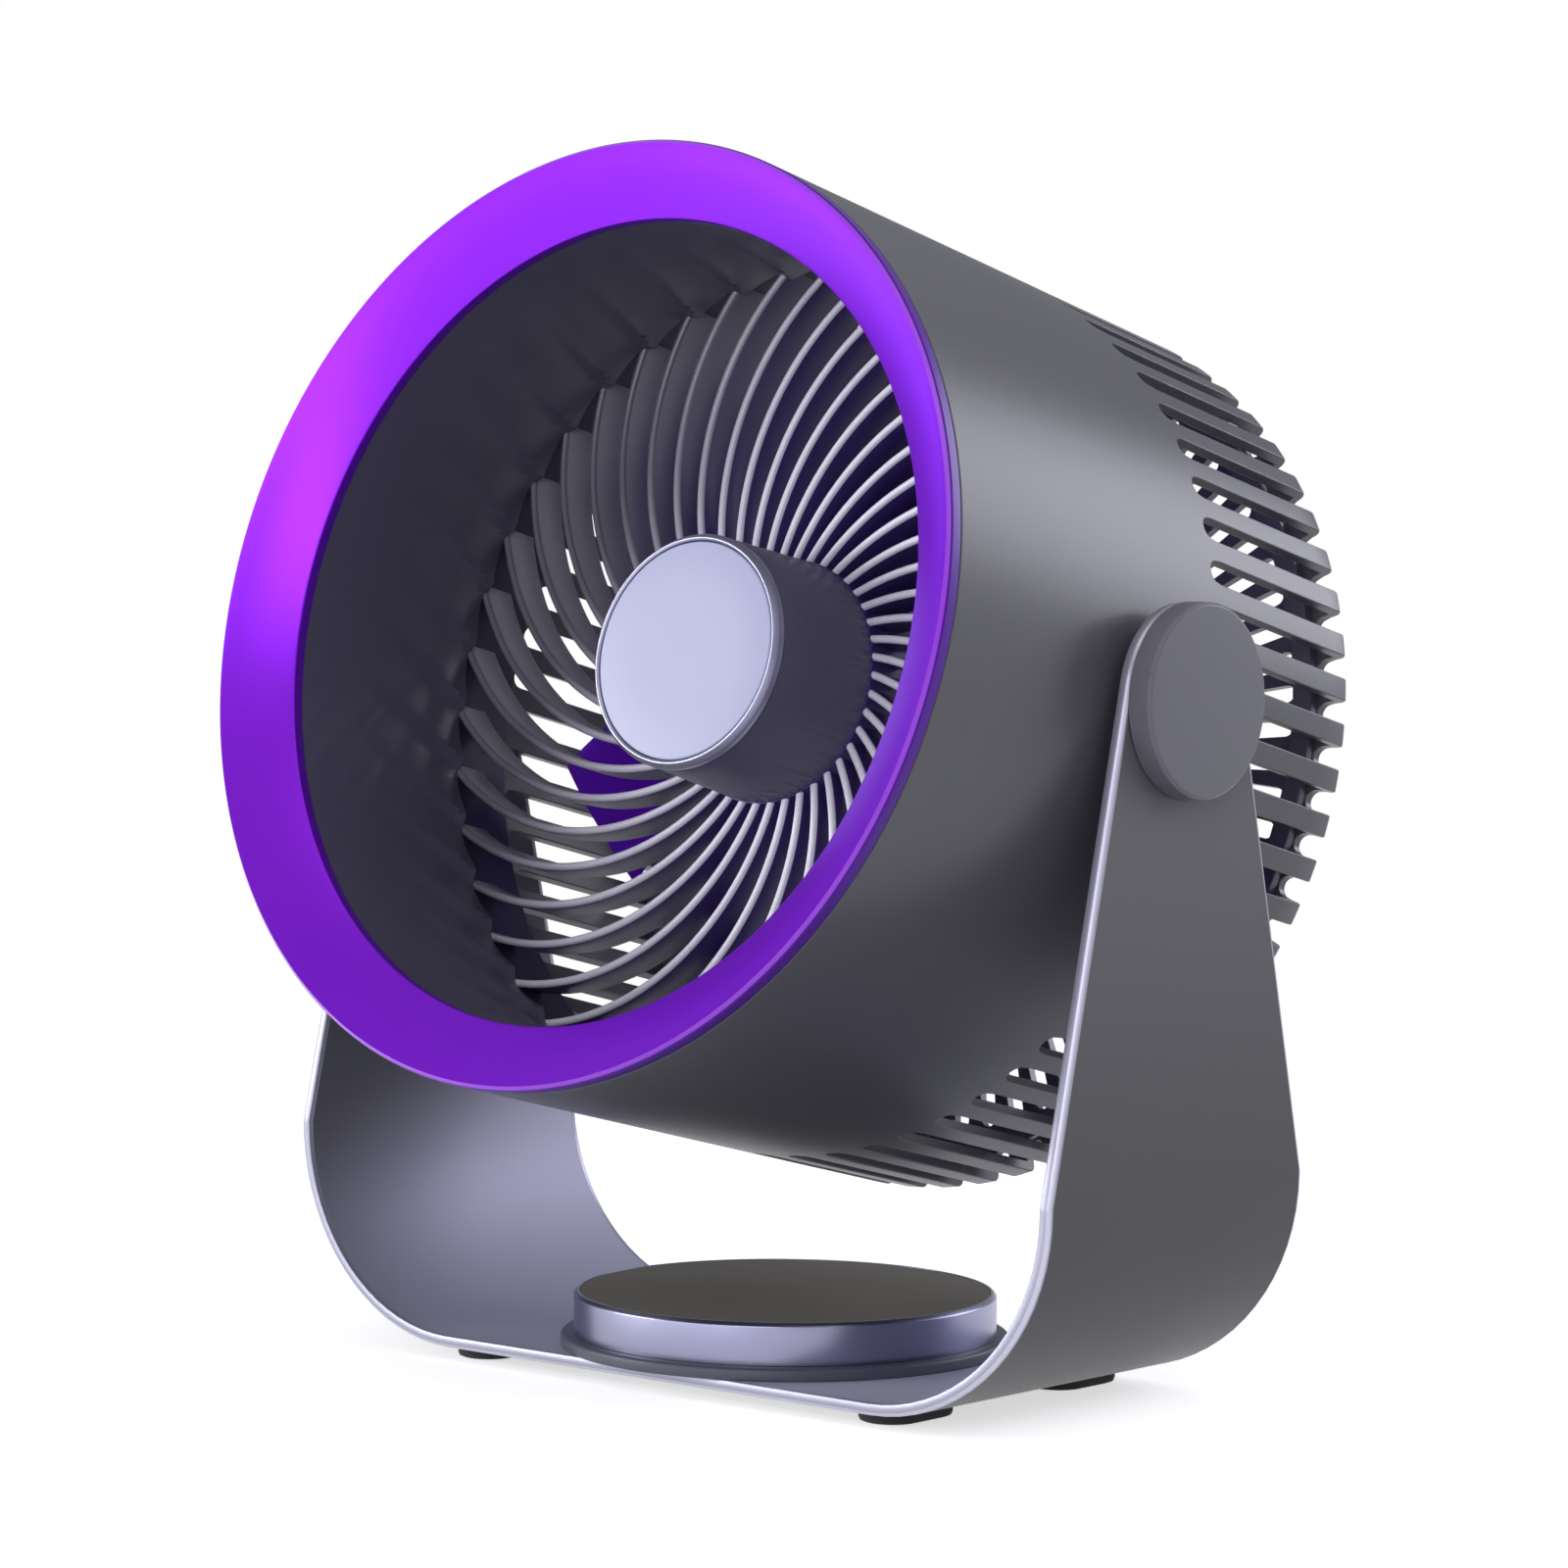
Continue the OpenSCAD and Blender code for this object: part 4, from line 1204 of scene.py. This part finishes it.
@dataclass
class RearCover:
    """The slotted cover at the back with its button, lights and screws, in millimetres and degrees."""

    bench: Bench
    outer_count: int = 72
    slot_width: float = 3.6
    inner_start: float = 38.0
    outer_start: float = 58.0
    bridge: float = 4.0
    rim: float = 2.0
    gap: float = 0.15
    button_hole_r: float = 9.2
    inlet_half: float = 2.9
    inlet_width: float = 3.3
    inlet_y: float = -21.0
    light_count: int = 4
    light_apart: float = 24.0
    light_ring_r: float = 20.0
    light_hole_r: float = 1.26
    flange_r: float = 89.6
    flange_depth: float = 2.2
    screw_count: int = 4
    screw_ring_r: float = 88.5

    def make(self) -> None:
        """Makes every piece at the back."""
        self.cover()
        self.button()
        self.lights()
        self.screws()

    def light_spots(self) -> list[Point]:
        """Gives where the indicator lights are, across the fan's axis."""
        first = 90 - (self.light_count - 1) / 2 * self.light_apart
        angles = np.radians([first + k * self.light_apart for k in range(self.light_count)])
        return [(self.light_ring_r * math.cos(t), self.light_ring_r * math.sin(t)) for t in angles]

    def cover(self) -> None:
        """Makes the cover with its two rows of radial slots."""
        size = self.bench.span("rear_grille")
        back = size.low + PANEL
        end = OPENING_R - self.rim
        half = self.slot_width / 2
        left, right = (-self.inlet_half, self.inlet_y), (self.inlet_half, self.inlet_y)
        holes = [circle((0, 0), self.button_hole_r, 64), stadium(left, right, self.inlet_width / 2, 8)]
        holes += [circle(spot, self.light_hole_r, 20) for spot in self.light_spots()]
        outer_row = (self.outer_count, self.outer_start, end)
        inner_row = (self.outer_count // 2, self.inner_start, self.outer_start - self.bridge)
        for slots, low, high in (outer_row, inner_row):
            for t in np.radians(ring_angles(slots, 0)):
                way = np.array([math.cos(t), math.sin(t)])
                holes.append(stadium(way * (low + half), way * (high - half), half, 8))
        shape = punched(circle((0, 0), OPENING_R - self.gap, 252), holes, size.low, back)
        near, far, seat = end + 1, min(size.r_out, self.flange_r), back + self.flange_depth
        shape.lathe([(near, back), (far, back), (far, seat), (near, seat)], 168)
        self.bench.piece(
            "rear_cover", shape, DUCT, Body.HEAD, "duct_dark", "rear_grille", self.bench.head, bevel_mm=0.3
        )

    def button(self) -> None:
        """Makes the power button, which is slightly dished."""
        size = self.bench.span("power_button")
        face, back = size.low, size.high
        corners = [(0, face + 0.35), (5.5, face + 0.1), (7.6, face), (9.0, face), (9.0, back - 1.0)]
        corners += [(10.6, back - 1.0), (10.6, back), (0, back)]
        shape = Shape().lathe(rounded(corners, [0, 2, 1, 0.5, 0, 0.1, 0.1, 0], False), 96, closed=False)
        self.bench.piece(
            "button_cap", shape, RING, Body.BUTTON, "ring_violet", "power_button", self.bench.head
        )

    def lights(self) -> None:
        """Makes the small domes of the indicator lights."""
        face, deep = self.bench.span("rear_grille").low, self.bench.span("indicator_lights").high
        profile = [(0.01, face + 0.02), (0.6, face + 0.1), (1.0, face + 0.3), (1.2, face + 0.6), (1.2, deep)]
        dome = Shape().lathe(profile, 32, closed=False)
        shape = Shape()
        for x, y in self.light_spots():
            shape.add(np.array(dome.points) + [x, y, 0], dome.faces)
        self.bench.piece(
            "light_domes", shape, LENS, Body.HEAD, "light_white", "indicator_lights", self.bench.head
        )

    def screws(self) -> None:
        """Makes the cover's screws."""
        face = self.bench.span("rear_grille").low
        shape = Shape()
        for t in np.radians(ring_angles(self.screw_count, 45)):
            self.screw(shape, (self.screw_ring_r * math.cos(t), self.screw_ring_r * math.sin(t)), face)
        self.bench.piece("cover_screws", shape, STEEL, Body.HEAD, "steel", "grille_screws", self.bench.head)

    @staticmethod
    def screw(shape: Shape, spot: Point, seat: float, radius: float = 2.1, height: float = 0.9) -> None:
        """Adds a screw with a domed head and a six-sided socket, its head towards lower z.

        Args:
            shape: the shape that grows.
            spot: the screw's place across z.
            seat: where the head sits.
            radius: radius of its head.
            height: height of its head.
        """
        top, end, shank, key = seat - height, seat + 4, 1.1, 0.55 * radius
        angles = full_turn(36)
        hexagon = math.cos(math.pi / 6) / np.cos((angles % (math.pi / 3)) - math.pi / 6)
        deep = top + 0.65 * height
        rows = [(0.01, deep), (key * hexagon, deep), (key * hexagon, top + 0.02), (0.72 * radius, top)]
        rows += [(0.92 * radius, top + 0.2 * height), (radius, top + 0.55 * height), (radius, seat)]
        rows += [(shank, seat), (shank, end), (0.01, end)]
        net = np.stack([polar(r, angles, a) for r, a in rows])
        shape.grid(net + np.array([*spot, 0]), False, True)


@dataclass(frozen=True)
class Station:
    """A place on the band's front edge, with the ways into the sheet and into the band."""

    spot: Array
    inward: Array
    across: Array

    def mirrored(self) -> "Station":
        """Gives the same place on the other arm."""
        flip = np.array([-1.0, 1, 1])
        return Station(self.spot * flip, self.inward * flip, self.across * flip)


@dataclass
class Band:
    """The U-shaped band with its bright edges and the pivot caps, in millimetres."""

    bench: Bench
    thick: float = 2.5
    corner: float = 44.0
    taper: float = 47.0
    trim: float = 1.2
    gap: float = 0.02
    skin_gap: float = 0.03
    hole_r: float = 5.65

    def __post_init__(self) -> None:
        """Reads the band's place from its bright edges and from the pivot."""
        low, high = self.bench.box("edge_trim")
        self.out = float(high[0])
        self.half = float(high[1] - low[1]) / 2
        self.floor = float(low[2])
        self.pivot_y, self.pivot_z = (float(v) for v in self.bench.pivot[1:])
        self.top_r = float(high[2]) - self.pivot_z

    def make(self) -> None:
        """Makes every piece of the band."""
        self.edges()
        self.sheet()
        self.caps()

    def side_outline(self) -> list[tuple[Point, Point]]:
        """Gives one arm's front edge from its top down to the corner.

        Returns:
            Pairs of a place (depth, height) and the direction to the arm's inside.
        """
        rise = self.pivot_z - self.taper
        reach = math.hypot(self.half, rise)
        heading = math.atan2(rise, -self.half) - math.asin(self.top_r / reach)
        start = math.degrees(heading) - 90
        made = []
        for t in np.radians(np.linspace(90, start, 15)):
            spot = (self.top_r * math.cos(t), self.pivot_z + self.top_r * math.sin(t))
            made.append((spot, (-math.cos(t), -math.sin(t))))
        (last_d, last_z), inward = made[-1]
        for share in np.linspace(0, 1, 9)[1:-1]:
            spot = (last_d + (self.half - last_d) * share, last_z + (self.taper - last_z) * share)
            made.append((spot, inward))
        mean = np.array(inward) + np.array([-1.0, 0.0])
        mean /= np.linalg.norm(mean)
        made.append(((self.half, self.taper), tuple(mean)))
        return made

    def stations(self) -> list[Station]:
        """Gives the front edge of the band, from the right arm's top to the left arm's.

        Returns:
            Its places in order.
        """
        back, up = np.array([0, -1.0, 0]), np.array([0, 0, 1.0])
        right = []
        for (depth, z), (inward, down) in self.side_outline():
            spot = np.array([self.out, depth, z])
            right.append(Station(spot, np.array([-1.0, 0, 0]), np.array([0, inward, down])))
        centre = np.array([self.out - self.corner, self.half, self.floor + self.corner])
        for t in np.radians(np.linspace(0, 90, 19)):
            away = np.array([math.cos(t), 0, -math.sin(t)])
            right.append(Station(centre + away * self.corner, -away, back))
        for share in (0.33, 0.66):
            spot = np.array([(self.out - self.corner) * (1 - share), self.half, self.floor])
            right.append(Station(spot, up, back))
        middle = Station(np.array([0, self.half, self.floor]), up, back)
        return right + [middle] + [s.mirrored() for s in reversed(right)]

    def place(self, station: Station, depth: float, sink: float, front: bool) -> Array:
        """Places a point near the band's edge.

        Args:
            station: a place on the edge.
            depth: how far from the edge into the band.
            sink: how far from the outer face into the sheet.
            front: whether it is on the front edge.

        Returns:
            The point.
        """
        point = station.spot + station.inward * sink + station.across * depth
        if front:
            point = point * np.array([1.0, -1.0, 1.0])
        return point + np.array([0, self.pivot_y, 0])

    def edges(self) -> None:
        """Makes the bright strip along the band's edges, with its cut bevel."""
        stations = self.stations()
        bevel = [(0.95, 0.0), (0.75, 0.06), (0.08, 0.78), (0.0, 0.98)]
        inner = [(0.0, self.thick - 0.4), (0.12, self.thick - 0.12), (0.4, self.thick)]
        section = [(self.trim, 0.0)] + bevel + inner + [(self.trim, self.thick)]
        loops = [[self.place(s, d, o, True) for d, o in section] for s in stations]
        loops += [[self.place(s, d, o, False) for d, o in section] for s in reversed(stations)]
        faces = grid_faces(len(loops), len(section), True, True)
        # The bevel's faces take the lighter colour: partly a painted highlight.
        tones = [int(k % len(section) == 2) for k in range(len(faces))]
        shape = Shape().add(np.array(loops), faces, tones)
        self.bench.piece(
            "edge_strip", shape, [EDGE, CUT], Body.STAND, "bright_edge", "edge_trim", crease=24
        )

    def sheet(self) -> None:
        """Makes the band's sheet with the holes of the pivots."""
        inset = self.trim + self.gap
        shares = np.linspace(0, 1, 9)
        loops = []
        for s in self.stations():
            row = []
            for sink, front in ((self.skin_gap, True), (self.thick - self.skin_gap, False)):
                start, end = self.place(s, inset, sink, front), self.place(s, inset, sink, not front)
                row += [start + (end - start) * t for t in shares]
            loops.append(row)
        columns = 2 * len(shares)
        faces = grid_faces(len(loops), columns, False, True)
        # Faces on the band's inside take the satin finish, whose blend paints the floor's light.
        tones = [int(len(shares) <= k % columns < columns - 1) for k in range(len(faces))]
        shape = Shape().add(np.array(loops), faces, tones)
        piece = self.bench.piece(
            "band_sheet", shape, [BAND, SATIN], Body.STAND, "band_grey", "stand_band", crease=30
        )
        near, far = self.out - 6, self.out + 3
        hole = Shape().lathe([(0, near), (self.hole_r, near), (self.hole_r, far), (0, far)], 48, closed=False)
        for side in Side:
            self.bench.pierce(piece, hole, side.out(self.bench.upright))

    def caps(self) -> None:
        """Makes the round caps over the pivots."""
        for side in Side:
            node = side.of("pivot_cap")
            low, high = self.bench.box(node)
            radius = float(high[2] - low[2]) / 2
            near, far = sorted((abs(float(low[0])), abs(float(high[0]))))
            corners = [(0, far), (radius - 0.7, far), (radius, far - 0.6), (radius, near + 0.25)]
            corners.append((radius - 1.6, near))
            shape = Shape().lathe(rounded(corners, [0, 0.45, 0.45, 0.2, 0], False), 128, closed=False)
            where = side.out(self.bench.upright)
            self.bench.piece(side.of("cap"), shape, KNOB, Body.STAND, "shell_grey", node, where)


@dataclass
class Base:
    """The round base on the band and the feet below it, in millimetres."""

    bench: Bench
    wall: float = 2.0
    bezel: float = 1.2
    sunk: float = 1.0
    joint: float = 0.05
    foot_top_gap: float = 0.01

    def __post_init__(self) -> None:
        """Reads where the middle of the base is."""
        low, high = self.bench.box("base_housing")
        self.centre = Matrix.Translation(Vector((0, (low[1] + high[1]) / 2 * MM, 0)))

    def measure(self, node: str) -> tuple[float, float, float]:
        """Gives a round node's radius, top and seat."""
        low, high = self.bench.box(node)
        return float(high[0] - low[0]) / 2, float(high[2]), float(low[2])

    def make(self) -> None:
        """Makes every piece of the base."""
        self.puck()
        self.plate()
        self.feet()

    def puck(self) -> None:
        """Makes the puck's shell and its soft top."""
        radius, top, seat = self.measure("base_housing")
        in_r = radius - self.bezel
        wall = [(radius - self.wall, seat), (radius, seat), (radius, top - 0.7), (radius - 0.7, top)]
        wall += [(in_r, top), (in_r, top - self.sunk), (0, top - self.sunk)]
        shape = Shape().lathe(rounded(wall, [0, 0.15, 0.5, 0.3, 0.1, 0, 0], False), closed=False)
        self.bench.piece("puck_shell", shape, PUCK, Body.STAND, "shell_grey", "base_housing", self.centre)
        face, under, lid_r = top - self.joint, top - self.sunk + 0.02, in_r - self.joint
        lid = [(0, face), (radius * 0.5, face), (lid_r, face), (lid_r, under), (0, under)]
        shape = Shape().lathe(rounded(lid, [0, 0, 0.3, 0, 0], False), closed=False)
        self.bench.piece("puck_top", shape, SOFT, Body.STAND, "base_soft", "base_top", self.centre)

    def plate(self) -> None:
        """Makes the lower tier."""
        radius, top, seat = self.measure("base_plate")
        tier = [(0, seat), (radius, seat), (radius, top), (0, top)]
        shape = Shape().lathe(rounded(tier, [0, 0.3, 0.8, 0], False), closed=False)
        self.bench.piece(
            "puck_plate", shape, PUCK_DARK, Body.STAND, "base_dark", "base_plate", self.centre
        )

    def feet(self) -> None:
        """Makes the four soft pads under the band, from the tread up."""
        points = self.bench.corners("foot_pads")
        middle_y = float(self.bench.pivot[1])
        top = float(points[:, 2].max()) - self.foot_top_gap
        rows = ((4.0, 0.25), (2.6, 0.0), (0.9, 0.0), (0.25, 0.25), (0.0, 0.8), (0.0, top))
        shape = Shape()
        for sx, sy in ((-1, -1), (-1, 1), (1, -1), (1, 1)):
            mine = points[(points[:, 0] * sx > 0) & ((points[:, 1] - middle_y) * sy > 0)]
            low, high = mine.min(0), mine.max(0)
            x, y, _ = (low + high) / 2
            half_w, half_l, _ = (high - low) / 2
            reach = half_l - half_w
            loops = []
            for inset, z in rows:
                outline = arc_points((x, y + reach), half_w - inset, 0, 180, 14)
                outline += arc_points((x, y - reach), half_w - inset, 180, 360, 14)
                loops.append([(px, py, z) for px, py in outline])
            net = np.array(loops)
            shape.grid(net, False, True)
            shape.add(net[0], [tuple(range(net.shape[1]))])
        self.bench.piece("rubber_feet", shape, FOOT, Body.STAND, "foot_rubber", "foot_pads", crease=40)


@dataclass
class InnerParts:
    """The parts that stay as the CAD model has them."""

    bench: Bench

    def make(self) -> None:
        """Gives each part its finish and round edges, whose widths are in millimetres."""
        plan: dict[str, tuple[Finish, float]] = {
            "ballast_disc": (IRON, 0.3),
            "base_screws": (STEEL, 0.2),
            "control_pod": (DUCT, 0.4),
            "battery_pack": (SLEEVE, 1.2),
            "control_board": (BOARD, 0.1),
            "button_switch": (SWITCH, 0.2),
            "charging_inlet": (STEEL, 0.08),
            "stator_core": (LAMINATION, 0.1),
            "stator_windings": (COPPER, 0.5),
            "bearing_front": (STEEL, 0.2),
            "bearing_rear": (STEEL, 0.2),
            "rotor_ring": (STEEL, 0.2),
            "magnet_ring": (MAGNET, 0.2),
            "motor_shaft": (STEEL, 0.1),
        }
        for side in Side:
            plan[side.of("arm_bush")] = (NYLON, 0.15)
            plan[side.of("friction_washer")] = (FIBRE, 0.1)
            plan[side.of("pivot_insert")] = (BRASS, 0.15)
            plan[side.of("pivot_bolt")] = (STEEL, 0.2)
        for node, (finish, bevel) in plan.items():
            self.bench.dress(node, finish, bevel)


# Studio


def direction(azimuth: float, elevation: float) -> Vector:
    """Gives the way from the fan to a camera or a light.

    Args:
        azimuth: degrees around the fan, 0 in front of it and 90 on its right.
        elevation: degrees above the floor.

    Returns:
        A vector of length 1.
    """
    a, e = math.radians(azimuth), math.radians(elevation)
    return Vector((math.sin(a) * math.cos(e), -math.cos(a) * math.cos(e), math.sin(e)))


@dataclass(frozen=True)
class Shot:
    """The photograph's camera, in millimetres and degrees."""

    lens: float = 112.485
    azimuth: float = 40.6207
    elevation: float = 2.98344
    roll: float = 0.52865
    distance: float = 1018.88
    aim: tuple[float, float, float] = (-2.749, 4.948, 121.083)
    shift: Point = (0.000795, 0.002015)
    sensor: float = 36.0


@dataclass(frozen=True)
class Lamp:
    """A soft light, with its size and distance in metres."""

    name: str
    azimuth: float
    elevation: float
    distance: float
    width: float
    height: float
    watts: float
    colour: str


LAMPS = (
    Lamp("key", -50.0, 9.0, 1.5, 0.6, 0.6, 10.4, WHITE),
    Lamp("low", -14.0, 1.5, 1.4, 1.6, 0.24, 4.5, "#F4F4FF"),
    Lamp("sheen", 24.0, 13.0, 1.5, 0.7, 0.55, 4.4, "#F8F4FF"),
    Lamp("band", 155.0, 19.0, 1.5, 0.8, 0.52, 7.4, "#F2F2FF"),
    Lamp("back", 176.0, 44.0, 1.5, 1.2, 0.5, 1.0, "#F2F2FF"),
    Lamp("right", 78.0, 42.0, 1.5, 0.9, 0.9, 2.2, WHITE),
    Lamp("top", 40.0, 66.0, 1.4, 1.0, 1.0, 1.8, "#FFF8EC"),
)


@dataclass(frozen=True)
class Studio:
    """The camera, the lights, the white surroundings and the floor, in metres.

    The surroundings are brightest at the horizon, and the floor turns white around the fan.
    """

    shot: Shot = Shot()
    middle: tuple[float, float, float] = (0.0, 0.0, 0.12)
    sky_colour: str = "#F6F6FF"
    sky_high: float = 0.30
    sky_horizon: float = 1.0
    sky_fade: Point = (0.05, 0.22)
    floor_half: float = 6.0
    floor_gap: float = 0.0002
    floor_paper: str = "#F6F6F7"
    floor_unseen: str = "#9B9BA0"
    floor_glow: float = 0.62
    floor_fade: Point = (0.22, 0.6)

    def camera(self) -> None:
        """Makes the camera."""
        shot = self.shot
        back, r = direction(shot.azimuth, shot.elevation), math.radians(shot.roll)
        right = (-back).cross(Vector((0, 0, 1))).normalized()
        up = right.cross(-back)
        turned = right * math.cos(r) + up * math.sin(r)
        up = up * math.cos(r) - right * math.sin(r)
        data = bpy.data.cameras.new("camera")
        data.lens, data.sensor_width = shot.lens, shot.sensor
        data.shift_x, data.shift_y = shot.shift
        data.clip_start, data.clip_end = 0.01, 20.0
        camera = bpy.data.objects.new("camera", data)
        bpy.context.scene.collection.objects.link(camera)
        place = Matrix.Translation((Vector(shot.aim) + back * shot.distance) * MM)
        camera.matrix_world = place @ Matrix((turned, up, back)).transposed().to_4x4()
        bpy.context.scene.camera = camera

    def lights(self, lamps: Sequence[Lamp] = LAMPS) -> None:
        """Makes the soft lights.

        Args:
            lamps: the lights.
        """
        for lamp in lamps:
            back = direction(lamp.azimuth, lamp.elevation)
            data = bpy.data.lights.new(lamp.name, "AREA")
            data.shape, data.size, data.size_y = "RECTANGLE", lamp.width, lamp.height
            data.energy, data.color = lamp.watts, linear(lamp.colour)[:3]
            light = bpy.data.objects.new(lamp.name, data)
            bpy.context.scene.collection.objects.link(light)
            light.location = Vector(self.middle) + back * lamp.distance
            light.rotation_euler = back.to_track_quat("Z", "Y").to_euler()

    def world(self) -> None:
        """Makes the white surroundings, which the camera sees as plain white."""
        world = bpy.data.worlds.new("white studio")
        bpy.context.scene.world = world
        world.use_nodes = True
        tree = world.node_tree
        tree.nodes.clear()
        path = Shop.add(tree, "ShaderNodeLightPath")
        way = Shop.add(tree, "ShaderNodeTexCoord").outputs["Generated"]
        rise = Shop.add(tree, "ShaderNodeSeparateXYZ", {"Vector": way}).outputs["Z"]
        strength = Shop.add(
            tree,
            "ShaderNodeMapRange",
            {
                "Value": rise,
                "From Min": self.sky_fade[0],
                "From Max": self.sky_fade[1],
                "To Min": self.sky_horizon,
                "To Max": self.sky_high,
            },
            interpolation_type="SMOOTHSTEP",
        )
        seen = Shop.add(tree, "ShaderNodeBackground", {"Color": linear(WHITE), "Strength": 1.0})
        light = {"Color": linear(self.sky_colour), "Strength": strength.outputs["Result"]}
        unseen = Shop.add(tree, "ShaderNodeBackground", light)
        mix = Shop.add(
            tree,
            "ShaderNodeMixShader",
            {0: path.outputs["Is Camera Ray"], 1: unseen.outputs[0], 2: seen.outputs[0]},
        )
        Shop.add(tree, "ShaderNodeOutputWorld", {"Surface": mix.outputs[0]})

    def floor(self) -> None:
        """Makes the pale floor, which takes the fan's shadow."""
        mesh = bpy.data.meshes.new("floor")
        size = self.floor_half
        corners = [(-size, -size, 0), (size, -size, 0), (size, size, 0), (-size, size, 0)]
        mesh.from_pydata(corners, [], [(0, 1, 2, 3)])
        floor = bpy.data.objects.new("floor", mesh)
        bpy.context.scene.collection.objects.link(floor)
        floor.location.z = -self.floor_gap
        material = bpy.data.materials.new("Paper pale floor")
        material.use_nodes = True
        tree = material.node_tree
        tree.nodes.clear()
        path = Shop.add(tree, "ShaderNodeLightPath")
        place = Shop.add(tree, "ShaderNodeTexCoord").outputs["Object"]
        far = Shop.add(tree, "ShaderNodeVectorMath", {0: place}, operation="LENGTH").outputs["Value"]
        share = Shop.add(
            tree,
            "ShaderNodeMapRange",
            {"Value": far, "From Min": self.floor_fade[0], "From Max": self.floor_fade[1]},
            interpolation_type="SMOOTHSTEP",
        )
        paper = Shop.add(tree, "ShaderNodeBsdfDiffuse", {"Color": linear(self.floor_paper)})
        glow = Shop.add(tree, "ShaderNodeEmission", {"Color": linear(WHITE), "Strength": self.floor_glow})
        both = Shop.add(tree, "ShaderNodeAddShader", {0: paper.outputs[0], 1: glow.outputs[0]})
        white = Shop.add(tree, "ShaderNodeEmission", {"Color": linear(WHITE), "Strength": 1.0})
        parts = {0: share.outputs["Result"], 1: both.outputs[0], 2: white.outputs[0]}
        seen = Shop.add(tree, "ShaderNodeMixShader", parts)
        unseen = Shop.add(tree, "ShaderNodeBsdfDiffuse", {"Color": linear(self.floor_unseen)})
        shown = Shop.add(
            tree,
            "ShaderNodeMath",
            {0: path.outputs["Is Camera Ray"], 1: path.outputs["Is Glossy Ray"]},
            operation="MAXIMUM",
        )
        parts = {0: shown.outputs[0], 1: unseen.outputs[0], 2: seen.outputs[0]}
        mix = Shop.add(tree, "ShaderNodeMixShader", parts)
        Shop.add(tree, "ShaderNodeOutputMaterial", {"Surface": mix.outputs[0]})
        mesh.materials.append(material)


def main() -> None:
    """Builds the whole scene."""
    logging.basicConfig(level=logging.INFO)
    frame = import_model()
    bpy.context.scene.view_settings.view_transform = "Standard"
    studio = Studio()
    studio.camera()
    bench = Bench(frame)
    for group in (Drum, VaneWheel, Impeller, RearCover, Band, Base, InnerParts):
        first = len(bench.done)
        group(bench).make()
        for name, body in bench.done[first:]:
            LOG.info("%s: %s rides on %s", group.__name__, name, body)
    studio.world()
    studio.lights()
    studio.floor()


if __name__ == "__main__":
    main()
